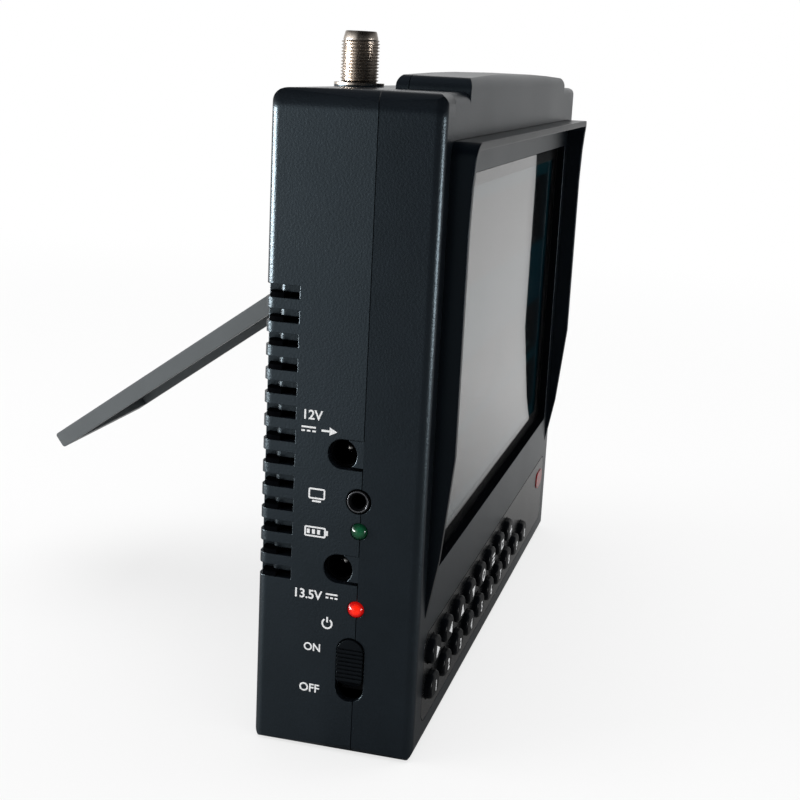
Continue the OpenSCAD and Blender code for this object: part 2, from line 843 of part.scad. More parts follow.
module key_cap(foot) {
    straight = key_w - key_h;
    for (s = [-1, 1])
        translate([s * straight / 2, 0, 0]) rotate_extrude() intersection() {
            key_section(foot);
            translate([0, foot]) square([key_h, key_proud - foot]);
        }
    translate([-straight / 2, 0, 0]) rotate([90, 0, 90]) linear_extrude(straight) {
        key_section(foot);
        mirror([1, 0]) key_section(foot);
    }
}

module key(row, i) color("#1a1b1d") {
    spot = key_spot(row, i);
    flange_y = y_in + fit;
    translate([spot.x, y_front, spot.y]) rotate([90, 0, 0]) key_cap(-wall - fit);
    along_y(flange_y, flange_y + key_flange_t)
        translate(spot) stadium(key_w + 2 * key_lip, key_h + 2 * key_lip);
    rod_y(flange_y, keypad_y - key_travel - 0.1, spot.x, spot.y, key_h / 4);
}

module remote_window() color("#7a1014") {
    along_y(y_front - 0.3, y_in + 0.6) translate([remote_x, remote_z]) stadium(remote_w, remote_h);
    along_y(y_in, keypad_y) translate([remote_x, remote_z]) stadium(remote_w + 2, remote_h + 2);
}

module main_board() color("#1f5a35") {
    difference() {
        along_y(board_front, board_y)
            rounded_box([-board_x, board_low], [board_x, board_high], 1);
        for (b = board_posts)
            rod_y(board_front - over, board_y + over, b.x, b.y, board_screw_r + 0.2);
    }
}

module tuner_can() color("#c4c6c8") {
    left = -aerial_x - tuner_left;
    low = aerial_foot - tuner_h;
    rear = y_back_in - 0.2;
    box([left, rear - tuner_t, low], [left + tuner_w, rear, aerial_foot]);
    for (x = [left, left + tuner_w - 3], z = [low, aerial_foot - 6])
        box([x, board_y, z], [x + 3, rear - tuner_t, z + 6]);
}

module f_connector() color("#a9a49c") {
    translate([-aerial_x, aerial_y, 0]) rotate_extrude()
        polygon([[aerial_bore_r, aerial_foot], [aerial_shank_r, aerial_foot],
                 [aerial_shank_r, body_h + washer_t], [aerial_r, body_h + washer_t],
                 [aerial_r, aerial_tip - aerial_taper], [aerial_mouth_r, aerial_tip],
                 [aerial_bore_r, aerial_tip]]);
}

module f_insulator() color("#e8e4da") {
    difference() {
        rod_z(aerial_foot, aerial_tip - 0.6, -aerial_x, aerial_y, aerial_bore_r - fit / 2);
        rod_z(aerial_foot - over, aerial_tip, -aerial_x, aerial_y, 0.8);
    }
}

module f_contact() color("#c8a85a") {
    rod_z(aerial_foot, aerial_tip - 1.6, -aerial_x, aerial_y, 0.8 - fit);
}

module f_washer() color("#b9b5ad") {
    difference() {
        rod_z(body_h, body_h + washer_t, -aerial_x, aerial_y, washer_r);
        rod_z(body_h - over, body_h + washer_t + over, -aerial_x, aerial_y, aerial_hole_r);
    }
}

module f_nut() color("#b9b5ad") {
    difference() {
        translate([-aerial_x, aerial_y, top_in - nut_t]) cylinder(h = nut_t, d = nut_corners, $fn = 6);
        rod_z(top_in - nut_t - over, top_in + over, -aerial_x, aerial_y, aerial_shank_r + fit);
    }
}

module dc_jack(z) color("#141414") {
    mouth = socket_x;
    difference() {
        box([mouth, board_y, z - dc_half], [mouth + dc_body_l, dc_y + dc_half, z + dc_half]);
        rod_x(mouth - over, mouth + dc_bore_d, dc_y, z, dc_bore_r);
        rod_x(mouth, mouth + dc_bore_d + 2, dc_y, z, dc_pin_r + fit / 2);
    }
}

module dc_pin(z) color("#d0cfcb") {
    mouth = socket_x;
    tip = mouth + dc_pin_set + dc_pin_r;
    rod_x(tip, mouth + dc_bore_d + 2, dc_y, z, dc_pin_r);
    translate([tip, dc_y, z]) sphere(r = dc_pin_r);
}

module av_jack() color("#18181a") {
    mouth = socket_x;
    face = -x_side - 0.15;
    length = 12;
    half = 3;
    difference() {
        union() {
            box([mouth, board_y, av_z - half], [mouth + length, av_y + half, av_z + half]);
            rod_x(face, mouth + 0.3, av_y, av_z, av_collar_r);
        }
        rod_x(-x_side - over, mouth + length - over, av_y, av_z, av_bore_r);
        translate([face - over, av_y, av_z]) rotate([0, 90, 0])
            cylinder(h = over + av_chamfer, r1 = av_bore_r + av_chamfer + over, r2 = av_bore_r);
    }
}

module led(z) {
    centre = -x_side - led_proud + led_r;
    rod_x(centre, -x_in + 2.4, led_y, z, led_r);
    translate([centre, led_y, z]) sphere(r = led_r);
}

module charge_led() color("#0f5a2c") led(charge_z);

module power_led() color("#e02a18") led(power_z);

module switch_housing() color("#3a3a3c") {
    mid = (knob_low + knob_top) / 2;
    reach = knob_stem_h / 2 + 0.3;
    end = 2.2;
    difference() {
        box([side_board_x, board_y, mid - reach - switch_travel - end],
            [side_board_x + 7, switch_y + 2.6, mid + reach + end]);
        box([side_board_x - over, switch_y - knob_stem_w / 2 - 0.2, mid - reach - switch_travel],
            [side_board_x + knob_stem_l + 0.3, switch_y + knob_stem_w / 2 + 0.2, mid + reach]);
    }
}

module switch_knob() color("#151617") {
    outer = -x_side - knob_proud;
    inner = -x_in - 0.1;
    mid = (knob_low + knob_top) / 2;
    ribs_low = knob_low + knob_ramp;
    rib_pitch = (knob_h - 2 * knob_ramp) / knob_grooves;
    difference() {
        along_x(outer, inner) translate([switch_y, mid]) rotate(90) stadium(knob_h, knob_w);
        along_y(switch_y - knob_w, switch_y + knob_w)
            polygon([[outer - over, ribs_low + over * 0.9], [outer + wall, knob_low - 0.3],
                     [outer - over, knob_low - 0.3]]);
        for (i = [0:knob_grooves - 1])
            box([outer - over, switch_y - knob_w, ribs_low + (i + 0.6) * rib_pitch],
                [outer + 0.45, switch_y + knob_w, ribs_low + (i + 1) * rib_pitch]);
    }
    box([inner - over, switch_y - knob_stem_w / 2, mid - knob_stem_h / 2],
        [side_board_x + knob_stem_l, switch_y + knob_stem_w / 2, mid + knob_stem_h / 2]);
}

module battery_cells() color("#3f6ea8") {
    for (i = [0:cells - 1]) {
        x = cell_x + i * cell_pitch;
        rod_z(cell_z, cell_z + cell_l, x, cell_y, cell_r);
        rod_z(cell_z + cell_l - over, cell_z + cell_l + 0.8, x, cell_y, cell_r / 3);
    }
}

module battery_cradle() color("#2a2b2d") {
    left = cell_x - cell_r - 1.2;
    right = cell_x + (cells - 1) * cell_pitch + cell_r + 0.4;
    difference() {
        box([left, cradle_y, cell_z - 1.6], [right, y_back_in, cell_z + cell_l + 2.4]);
        for (i = [0:cells - 1])
            rod_z(cell_z - fit, cell_z + cell_l + 0.9, cell_x + i * cell_pitch, cell_y, cell_r + fit);
    }
}

module speaker() color("#4a4a4a") {
    translate([-speaker_x, y_back_in, speaker_z]) rotate([90, 0, 0]) rotate_extrude()
        polygon([[0, 1.5], [speaker_r - 3, 0.3], [speaker_r - 2.6, 0], [speaker_r, 0], [speaker_r, 1],
                 [magnet_r, speaker_t], [magnet_r, speaker_t + magnet_t], [0, speaker_t + magnet_t]]);
}

module stand_outline() {
    foot = 0.8;
    circle(d = stand_t);
    rounded_outline([[-stand_t / 2, -stand_l], [stand_t / 2, -stand_l], [stand_t / 2, 0], [-stand_t / 2, 0]],
                    [foot, foot, 0, 0]);
}

module stand() color("#4a4f54") {
    rim = 2.5;
    half = stand_w / 2 - rim;
    translate([0, stand_y, stand_z]) rotate([stand_open, 0, 0]) difference() {
        along_x(-stand_w / 2, stand_w / 2) stand_outline();
        box([-half, -stand_t, -stand_l + 2 * rim], [half, stand_t / 2 - stand_skin, -2 * stand_t]);
        rod_x(-stand_w, stand_w, 0, 0, pin_r + fit);
    }
}

module stand_pin() color("#9a9a9a") {
    reach = tub_half - 0.4;
    rod_x(-reach, reach, stand_y, stand_z, pin_r);
}

module case_screws() color("#8a8a8a") {
    for (b = case_bosses) {
        rod_y(y_in + 2 * over, case_head_seat, b.x, b.y, case_screw_r);
        rod_y(case_head_seat, case_head_seat + case_head_t, b.x, b.y, case_head_r);
    }
}

module board_screws() color("#8a8a8a") {
    for (b = board_posts) {
        rod_y(y_in + over, board_y, b.x, b.y, board_screw_r);
        rod_y(board_y, board_y + board_head_t, b.x, b.y, board_head_r);
    }
}

module keypad_screws() color("#8a8a8a") {
    for (x = keypad_posts) {
        rod_y(y_in, keypad_y + board_t, x, keypad_post_z, keypad_screw_r);
        rod_y(keypad_y + board_t, keypad_y + board_t + keypad_head_t, x, keypad_post_z, keypad_head_r);
    }
}

front_shell();
rear_shell();
sun_hood();
screen_lens();
lcd_module();
lcd_bracket();
keypad_overlay();
keypad_mat();
keypad_board();
for (i = [0:upper_keys - 1])
    key("upper", i);
for (i = [0:lower_keys - 1])
    key("lower", i);
remote_window();
main_board();
tuner_can();
f_connector();
f_insulator();
f_contact();
f_washer();
f_nut();
dc_jack(dc_out_z);  // dc_output_jack
dc_pin(dc_out_z);  // dc_output_pin
dc_jack(dc_in_z);  // dc_input_jack
dc_pin(dc_in_z);  // dc_input_pin
av_jack();
charge_led();
power_led();
switch_housing();
switch_knob();
battery_cells();
battery_cradle();
speaker();
stand();
stand_pin();
case_screws();
board_screws();
keypad_screws();
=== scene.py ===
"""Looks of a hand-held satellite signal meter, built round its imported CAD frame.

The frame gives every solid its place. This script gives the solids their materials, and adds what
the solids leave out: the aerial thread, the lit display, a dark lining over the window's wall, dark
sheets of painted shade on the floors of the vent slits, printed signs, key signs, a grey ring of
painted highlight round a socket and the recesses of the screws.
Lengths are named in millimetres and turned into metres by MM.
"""

import json
import math

import bmesh
import bpy
from mathutils import Matrix, Vector

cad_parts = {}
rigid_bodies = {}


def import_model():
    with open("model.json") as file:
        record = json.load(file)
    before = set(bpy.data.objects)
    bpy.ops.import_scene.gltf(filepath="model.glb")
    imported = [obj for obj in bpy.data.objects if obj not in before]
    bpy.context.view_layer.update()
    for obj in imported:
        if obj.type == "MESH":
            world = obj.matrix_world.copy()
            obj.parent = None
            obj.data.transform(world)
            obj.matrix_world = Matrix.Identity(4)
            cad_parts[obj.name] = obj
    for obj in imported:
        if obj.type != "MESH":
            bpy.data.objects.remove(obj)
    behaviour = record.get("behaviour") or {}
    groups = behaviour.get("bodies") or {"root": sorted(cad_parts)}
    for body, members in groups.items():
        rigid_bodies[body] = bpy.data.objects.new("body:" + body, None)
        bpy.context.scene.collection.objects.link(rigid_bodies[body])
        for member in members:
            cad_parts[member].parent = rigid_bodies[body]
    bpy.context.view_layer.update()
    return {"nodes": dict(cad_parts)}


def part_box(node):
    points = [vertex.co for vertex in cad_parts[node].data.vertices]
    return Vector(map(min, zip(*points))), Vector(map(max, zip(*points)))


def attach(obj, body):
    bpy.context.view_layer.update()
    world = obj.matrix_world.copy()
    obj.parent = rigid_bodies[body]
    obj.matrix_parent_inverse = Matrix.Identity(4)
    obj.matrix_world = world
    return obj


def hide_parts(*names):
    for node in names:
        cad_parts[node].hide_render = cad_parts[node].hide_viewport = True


for leftover in list(bpy.data.objects):
    bpy.data.objects.remove(leftover)

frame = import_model()
NODES = frame["nodes"]
MM = 0.001
CASE_HEIGHT = 159.2
# The sides beyond CROWN_FROM from the middle round off over the top CROWN_REACH of the case
CROWN_REACH, CROWN_R, CROWN_FROM = 5.2, 3.4, 88.0
HALF_SEAM = 0.1
PART_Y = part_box("rear_shell")[0].y / MM - HALF_SEAM
SEAM_CRISP = 0.5
# A face looks to the rear where its normal's y is above this
REARWARD = 0.97
# The middle of a noise, which carries most of its change, and the shine of a plain plastic
NOISE_LOW, NOISE_HIGH = 0.3, 0.7
PLAIN_SHINE = 0.5


# Shader building


def math_node(tree, operation, *sources):
    """A math node on numbers and sockets; gives its output socket."""
    made = tree.nodes.new("ShaderNodeMath")
    made.operation = operation
    for i, source in enumerate(sources):
        if isinstance(source, float):
            made.inputs[i].default_value = source
        else:
            tree.links.new(source, made.inputs[i])
    return made.outputs[0]


class Shader:
    """A Principled material with short calls for adding and linking nodes."""

    def __init__(self, name):
        self.material = bpy.data.materials.new(name)
        self.material.use_nodes = True
        self.tree = self.material.node_tree
        self.bsdf = self.tree.nodes["Principled BSDF"]
        self.place = self.node("ShaderNodeTexCoord").outputs["Object"]

    def node(self, kind, links=(), **inputs):
        made = self.tree.nodes.new(kind)
        for name, value in inputs.items():
            made.inputs[name.replace("_", " ").title()].default_value = value
        for name, source in links:
            self.tree.links.new(source, made.inputs[name])
        return made

    def set(self, **inputs):
        for name, value in inputs.items():
            self.bsdf.inputs[name.replace("__", " ")].default_value = value
        return self

    def feed(self, name, source):
        self.tree.links.new(source, self.bsdf.inputs[name])

    def noise(self, size, detail=2.0, stretch=(1, 1, 1)):
        """Noise whose features are about `size` millimetres wide."""
        place = self.place
        if stretch != (1, 1, 1):
            mapping = self.node("ShaderNodeMapping", [("Vector", place)])
            mapping.inputs["Scale"].default_value = stretch
            place = mapping.outputs["Vector"]
        made = self.node("ShaderNodeTexNoise", [("Vector", place)], scale=1 / (size * MM), detail=detail)
        return made.outputs["Fac"]

    def spread(self, source, low, high):
        """Maps the middle of a noise to low .. high."""
        made = self.node("ShaderNodeMapRange", [("Value", source)])
        made.inputs["From Min"].default_value = NOISE_LOW
        made.inputs["From Max"].default_value = NOISE_HIGH
        made.inputs["To Min"].default_value = low
        made.inputs["To Max"].default_value = high
        return made.outputs["Result"]

    def tint(self, source, dark, light):
        """Colours from dark to light along a noise."""
        ramp = self.node("ShaderNodeValToRGB", [("Fac", source)])
        ramp.color_ramp.elements[0].position = NOISE_LOW
        ramp.color_ramp.elements[0].color = (*dark, 1)
        ramp.color_ramp.elements[1].position = NOISE_HIGH
        ramp.color_ramp.elements[1].color = (*light, 1)
        return ramp.outputs["Color"]

    def calc(self, operation, *sources):
        return math_node(self.tree, operation, *sources)

    def crown(self):
        """Heights, in metres, that round the left and right sides off towards the case's top edge."""
        parts = self.node("ShaderNodeSeparateXYZ", [("Vector", self.place)])
        above = self.calc("SUBTRACT", parts.outputs["Z"], (CASE_HEIGHT - CROWN_REACH) * MM)
        above = self.calc("MAXIMUM", above, 0.0)
        drop = self.calc("MULTIPLY", self.calc("MULTIPLY", above, above), -0.5 / (CROWN_R * MM))
        at_side = self.calc("GREATER_THAN", self.calc("ABSOLUTE", parts.outputs["X"]), CROWN_FROM * MM)
        return self.calc("MULTIPLY", drop, at_side)

    def rearward(self):
        """One where a face looks straight to the rear, and nothing elsewhere."""
        facing = self.node("ShaderNodeTexCoord").outputs["Normal"]
        parts = self.node("ShaderNodeSeparateXYZ", [("Vector", facing)])
        return self.calc("GREATER_THAN", parts.outputs["Y"], REARWARD)

    def off_seam(self, edge):
        """An edge radius that is nothing at the seam between the two shells, which stays crisp."""
        parts = self.node("ShaderNodeSeparateXYZ", [("Vector", self.place)])
        from_seam = self.calc("ABSOLUTE", self.calc("SUBTRACT", parts.outputs["Y"], PART_Y * MM))
        return self.calc("MULTIPLY", self.calc("GREATER_THAN", from_seam, SEAM_CRISP * MM), edge * MM)

    def bump(self, height, depth, edge=0.0, crown=False):
        """A bump of `depth` millimetres, over edges that are rounded by `edge` millimetres."""
        made = self.node("ShaderNodeBump", [("Height", height)], strength=1.0, distance=depth * MM)
        under = made
        if crown:
            under = self.node("ShaderNodeBump", [("Height", self.crown())], strength=1.0, distance=1.0)
            self.tree.links.new(under.outputs["Normal"], made.inputs["Normal"])
        if edge:
            rounded = self.node("ShaderNodeBevel", radius=edge * MM)
            rounded.samples = 6
            if crown:
                self.tree.links.new(self.off_seam(edge), rounded.inputs["Radius"])
            self.tree.links.new(rounded.outputs["Normal"], under.inputs["Normal"])
        self.feed("Normal", made.outputs["Normal"])


def shades(color, share):
    """A darker and a lighter shade round a colour."""
    return [tuple(c * k for c in color) for k in (1 - share, 1 + share)]


def moulded(name, color, rough, grain, depth, edge=0.2, crown=False, ior=1.45, gloss=(1, 1, 1),
            mottle=0.12, patch=9.0, wear=0.015, back=0.0):
    """Moulded plastic: fine eroded grain, slow changes of tone and gloss, softened edges.

    Faces that look to the rear are rougher, and shine less, by `back`.
    """
    s = Shader(name)
    cloud = s.noise(patch, detail=3)
    s.feed("Base Color", s.tint(cloud, *shades(color, mottle)))
    duller = s.spread(s.noise(3 * patch), rough - wear, rough + wear)
    if back:
        rearward = s.rearward()
        duller = s.calc("MULTIPLY_ADD", rearward, back, duller)
        s.feed("Specular IOR Level", s.calc("MULTIPLY_ADD", rearward, -back, PLAIN_SHINE))
    s.feed("Roughness", duller)
    s.bump(s.noise(grain, detail=3), depth, edge, crown)
    return s.set(IOR=ior, Specular__Tint=(*gloss, 1)).material


def metal(name, color, rough, stretch=(1, 1, 1), grain=0.3, depth=0.001, edge=0.1):
    """Plated or drawn metal: tone and gloss change along its drawing marks."""
    s = Shader(name)
    marks = s.noise(grain, detail=4, stretch=stretch)
    s.feed("Base Color", s.tint(s.noise(4, detail=3), *shades(color, 0.1)))
    s.feed("Roughness", s.spread(marks, rough - 0.06, rough + 0.08))
    s.bump(marks, depth, edge)
    return s.set(Metallic=1.0).material


# Shift of a lamp's chip from the dome's middle, and reach of its glow, as shares of the radius
CHIP_SHIFT, GLOW_REACH = 0.2, 1.2


def lamp_dome(name, node, core, rim, strength):
    """A tinted lamp dome, brighter round the chip in its middle than at its rim."""
    s = Shader(name)
    low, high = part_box(node)
    radius = (high.z - low.z) / 2
    from_chip = s.node("ShaderNodeVectorMath", [(0, s.place)])
    from_chip.operation = "SUBTRACT"
    middle = (low + high) / 2
    shift = CHIP_SHIFT * radius
    from_chip.inputs[1].default_value = (low.x, middle.y - shift, middle.z + shift)
    reach = s.node("ShaderNodeVectorMath", [(0, from_chip.outputs[0])])
    reach.operation = "LENGTH"
    share = s.node("ShaderNodeMapRange", [("Value", reach.outputs["Value"])])
    share.inputs["From Max"].default_value = GLOW_REACH * radius
    s.feed("Base Color", s.tint(share.outputs["Result"], core, rim))
    s.feed("Emission Color", s.tint(share.outputs["Result"], core, rim))
    cloud = s.noise(1.5)
    s.feed("Roughness", s.spread(cloud, 0.08, 0.14))
    s.bump(cloud, 0.006)
    return s.set(Emission__Strength=strength, IOR=1.5).material


def clear(name, color, rough, through, ior=1.49):
    """Clear or tinted moulded window with faint wiping marks."""
    s = Shader(name)
    marks = s.noise(1.2, detail=3, stretch=(1, 1, 0.12))
    s.feed("Base Color", s.tint(marks, *shades(color, 0.02)))
    s.feed("Roughness", s.spread(marks, rough, rough + 0.03))
    s.bump(s.noise(14), 0.002)
    return s.set(IOR=ior, Transmission__Weight=through).material


def circuit_board(name):
    """Solder mask with traces that show as slightly raised lines, and a fine weave."""
    s = Shader(name)
    cells = s.node("ShaderNodeTexVoronoi", [("Vector", s.place)], scale=1 / (2.4 * MM))
    cells.distance = "MANHATTAN"
    weave = s.noise(0.5, detail=3)
    s.feed("Base Color", s.tint(cells.outputs["Distance"], (0.012, 0.07, 0.03), (0.02, 0.16, 0.06)))
    s.feed("Roughness", s.spread(weave, 0.3, 0.42))
    s.bump(cells.outputs["Distance"], 0.02)
    return s.material


def printed(name, color):
    """Screen-printed ink: slightly uneven cover."""
    s = Shader(name)
    cover = s.noise(0.25, detail=3)
    s.feed("Base Color", s.tint(cover, *shades(color, 0.07)))
    s.feed("Roughness", s.spread(cover, 0.5, 0.62))
    s.bump(cover, 0.004)
    return s.material


def glowing(name, low, high, size, strength):
    """A display area whose picture changes slowly from low to high."""
    s = Shader(name)
    cloud = s.noise(size, detail=1)
    s.set(Base__Color=(0.004, 0.005, 0.006, 1), IOR=1.45)
    s.feed("Emission Color", s.tint(cloud, low, high))
    s.feed("Roughness", s.spread(cloud, 0.08, 0.12))
    s.bump(cloud, 0.001)
    return s.set(Emission__Strength=strength).material


BLUE_GLOSS = (0.68, 0.88, 1.0)
LOOKS = {
    "case": moulded("case_plastic", (0.0055, 0.0076, 0.0110), 0.3, 0.55, 0.05, edge=0.3, crown=True,
                    ior=1.5, gloss=BLUE_GLOSS, back=0.34),
    "hood": moulded("hood_plastic", (0.0014, 0.0024, 0.0044), 0.3, 0.3, 0.008, edge=0.7, ior=1.3,
                    gloss=BLUE_GLOSS),
    "lens": clear("lens_acrylic", (1.0, 1.0, 1.0), 0.0, 1.0),
    "display": moulded("display_frame", (0.01, 0.01, 0.011), 0.4, 0.3, 0.01),
    "shield": metal("shield_sheet", (0.62, 0.63, 0.64), 0.32, stretch=(0.1, 1, 1)),
    "overlay": moulded("overlay_film", (0.004, 0.0046, 0.0055), 0.24, 0.7, 0.005, edge=0.15, ior=1.65),
    "rubber": moulded("mat_rubber", (0.03, 0.03, 0.032), 0.7, 0.25, 0.02),
    "key": moulded("key_rubber", (0.0022, 0.0028, 0.0040), 0.3, 0.25, 0.006, edge=0.25, ior=1.18),
    "board": circuit_board("solder_mask"),
    "red_window": clear("red_filter", (0.6, 0.004, 0.006), 0.05, 0.6),
    "nickel": metal("nickel_plate", (0.55, 0.49, 0.43), 0.26),
    "insulator": moulded("insulator_plastic", (0.62, 0.58, 0.5), 0.4, 0.3, 0.006),
    "brass": metal("contact_brass", (0.72, 0.52, 0.22), 0.25),
    "socket": moulded("socket_plastic", (0.002, 0.0023, 0.003), 0.4, 0.3, 0.006, edge=0.15, ior=1.15),
    # The green dome is given a faint glow, brighter in its middle: painted light on a charge light that is
    # not lit
    "green_light": lamp_dome("green_dome_painted_glow", "charge_led", (0.006, 0.075, 0.03), (0.002, 0.026, 0.011), 0.25),
    "red_light": lamp_dome("red_dome", "power_led", (0.9, 0.016, 0.004), (0.36, 0.003, 0.002), 0.6),
    "knob": moulded("knob_plastic", (0.003, 0.0036, 0.005), 0.4, 0.3, 0.008, edge=0.15, ior=1.22,
                    gloss=BLUE_GLOSS),
    "cell": moulded("cell_wrap", (0.03, 0.09, 0.26), 0.3, 2.0, 0.01),
    "speaker": moulded("speaker_frame", (0.03, 0.03, 0.032), 0.5, 0.4, 0.02),
    "stand": moulded("stand_plastic", (0.145, 0.160, 0.167), 0.36, 0.5, 0.006, edge=0.3, mottle=0.04),
    "steel": metal("screw_steel", (0.4, 0.4, 0.41), 0.3),
}
INK = printed("white_ink", (0.86, 0.87, 0.88))
# A grey ring painted on as the highlight of a socket's rounded edge
RIM = metal("painted_highlight_rim", (0.14, 0.145, 0.155), 0.35)
PIN = metal("bright_pin", (0.9, 0.88, 0.84), 0.3)
MASK = printed("black_mask", (0.006, 0.006, 0.007))

for node in NODES.values():
    slot = node.data.materials[0].name.split(".")[0]
    node.data.materials[0] = LOOKS[slot]
for pin in ("dc_output_pin", "dc_input_pin"):
    NODES[pin].data.materials[0] = PIN


# Piece building


def piece(name, bm, body, look, smooth=False):
    """Makes a mesh piece from bm, which is in metres and in the row frame."""
    bmesh.ops.recalc_face_normals(bm, faces=bm.faces)
    mesh = bpy.data.meshes.new(name)
    bm.to_mesh(mesh)
    bm.free()
    for polygon in mesh.polygons:
        polygon.use_smooth = smooth
    mesh.materials.append(look)
    made = bpy.data.objects.new(name, mesh)
    bpy.context.scene.collection.objects.link(made)
    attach(made, body)
    return made


def sheet_axes(origin, across, up):
    """A frame whose x runs across and y runs up a face, and whose z leaves it; origin in millimetres."""
    across, up = Vector(across).normalized(), Vector(up).normalized()
    out = across.cross(up)
    up = out.cross(across)
    turn = Matrix((across, up, out)).transposed().to_4x4()
    return Matrix.Translation(Vector(origin) * MM) @ turn @ Matrix.Scale(MM, 4)


def slab(bm, outline, low, high, axes):
    """A closed slab over an outline of (x, y) points, from height low to height high."""
    rings = [[bm.verts.new(axes @ Vector((x, y, h))) for x, y in outline] for h in (low, high)]
    count = len(outline)
    for i in range(count):
        j = (i + 1) % count
        bm.faces.new((rings[0][i], rings[0][j], rings[1][j], rings[1][i]))
    bm.faces.new(rings[0][::-1])
    bm.faces.new(rings[1])


def band(bm, inner, outer, low, high, axes, closed=True):
    """A closed strip between two outlines with the same number of points."""
    loops = [[bm.verts.new(axes @ Vector((x, y, h))) for x, y in line]
             for line in (inner, outer) for h in (low, high)]
    inner_low, inner_high, outer_low, outer_high = loops
    count = len(inner)
    for i in range(count if closed else count - 1):
        j = (i + 1) % count
        bm.faces.new((inner_low[j], inner_low[i], outer_low[i], outer_low[j]))
        bm.faces.new((inner_high[i], inner_high[j], outer_high[j], outer_high[i]))
        bm.faces.new((inner_low[i], inner_low[j], inner_high[j], inner_high[i]))
        bm.faces.new((outer_low[j], outer_low[i], outer_high[i], outer_high[j]))
    if not closed:
        for i, flip in ((0, False), (count - 1, True)):
            end = (inner_low[i], inner_high[i], outer_high[i], outer_low[i])
            bm.faces.new(end[::-1] if flip else end)


def arc(x, y, r, start, end, count):
    """Points on an arc; angles in degrees, anticlockwise from the x axis."""
    steps = [math.radians(start + (end - start) * i / (count - 1)) for i in range(count)]
    return [(x + r * math.cos(a), y + r * math.sin(a)) for a in steps]


def round_rect(x0, y0, x1, y1, r, count=6):
    """A rectangle with rounded corners, anticlockwise."""
    corners = ((x1 - r, y0 + r, 270), (x1 - r, y1 - r, 0), (x0 + r, y1 - r, 90), (x0 + r, y0 + r, 180))
    return [p for x, y, a in corners for p in arc(x, y, r, a, a + 90, count)]


class Sign:
    """Thin printed forms on one face: bars, rings, arcs and filled outlines, in millimetres."""

    def __init__(self, axes, thick=0.04, sunk=0.03):
        self.bm = bmesh.new()
        self.axes = axes
        self.low, self.high = -sunk, thick

    def fill(self, outline):
        slab(self.bm, outline, self.low, self.high, self.axes)

    def bar(self, x0, y0, x1, y1, w):
        along = Vector((x1 - x0, y1 - y0)).normalized()
        side = Vector((-along.y, along.x)) * w / 2
        a, b = Vector((x0, y0)), Vector((x1, y1))
        self.fill([tuple(p) for p in (a - side, b - side, b + side, a + side)])

    def disc(self, x, y, r):
        self.fill(arc(x, y, r, 0, 360, 25)[:-1])

    def ring(self, x, y, r, w, start=0, end=360):
        whole = end - start >= 360
        count = 33
        inner = arc(x, y, r - w / 2, start, end, count)
        outer = arc(x, y, r + w / 2, start, end, count)
        if whole:
            inner, outer = inner[:-1], outer[:-1]
        band(self.bm, inner, outer, self.low, self.high, self.axes, closed=whole)

    def box(self, x0, y0, x1, y1, w, r):
        outer = round_rect(x0, y0, x1, y1, r)
        inner = round_rect(x0 + w, y0 + w, x1 - w, y1 - w, max(r - w, 0.02))
        band(self.bm, inner, outer, self.low, self.high, self.axes)

    def done(self, name, body, look=INK):
        return piece(name, self.bm, body, look)


def words(name, text, cap, axes, body, thick=0.04, sunk=0.03):
    """Generic lettering, `cap` millimetres high, that starts at the origin of axes."""
    curve = bpy.data.curves.new(name, "FONT")
    curve.body = text
    curve.size = cap / 0.72
    curve.offset = cap * 0.026
    curve.extrude = (thick + sunk) / 2
    curve.resolution_u = 4
    source = bpy.data.objects.new(name + "_curve", curve)
    bpy.context.scene.collection.objects.link(source)
    bpy.context.view_layer.update()
    evaluated = source.evaluated_get(bpy.context.evaluated_depsgraph_get())
    bm = bmesh.new()
    bm.from_mesh(evaluated.to_mesh())
    bpy.data.objects.remove(source)
    bmesh.ops.remove_doubles(bm, verts=bm.verts, dist=0.001)
    lift = Matrix.Translation((0, 0, (thick - sunk) / 2))
    bmesh.ops.transform(bm, matrix=axes @ lift, verts=bm.verts)
    return piece(name, bm, body, INK)


# Aerial socket: right-handed thread, tapered tip, hollow mouth

AERIAL_LOW, AERIAL_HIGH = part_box("f_connector")
AERIAL_AXIS = (AERIAL_LOW + AERIAL_HIGH) / 2 / MM
WASHER_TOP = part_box("f_washer")[1].z / MM
BORE_R = (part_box("f_insulator")[1].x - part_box("f_insulator")[0].x) / 2 / MM
AERIAL_TIP = AERIAL_HIGH.z / MM
CREST_R = (AERIAL_HIGH.x - AERIAL_LOW.x) / 2 / MM
THREAD_DEPTH, SHANK_STEP, MOUTH_STEP = 0.46, 0.6, 0.95
ROOT_R = CREST_R - THREAD_DEPTH
SHANK_R = CREST_R - SHANK_STEP
MOUTH_R = CREST_R - MOUTH_STEP
TAPER = 1.8
# Radius and depth below the tip along the socket's mouth, from the thread's end to the bore
MOUTH_PROFILE = ((ROOT_R, TAPER - 0.1), (MOUTH_R + 0.12, 0.22), (MOUTH_R, 0.06), (MOUTH_R - 0.1, 0),
                 (BORE_R + 0.12, 0), (BORE_R, 0.12))
THREAD_PITCH = 25.4 / 32
# Form of the groove across one pitch, and the turns over which the thread fades at each end
GROOVE_TOP, GROOVE_SLOPE = 1.45, 3.5
FADE_IN, FADE_OUT = 0.6, 0.9
ROWS_PER_TURN = 12
TURN_STEPS = 96


def thread_radius(z, angle):
    """Radius of a truncated V thread that fades at both ends."""
    start, end = WASHER_TOP, AERIAL_TIP - TAPER
    phase = ((z - start) / THREAD_PITCH - angle / math.tau) % 1.0
    groove = min(1.0, max(0.0, GROOVE_TOP - GROOVE_SLOPE * abs(phase - 0.5)))
    fade = min(1.0, (z - start) / (FADE_IN * THREAD_PITCH), (end - z) / (FADE_OUT * THREAD_PITCH))
    return ROOT_R + (CREST_R - ROOT_R) * (1.0 - groove) * max(0.0, fade)


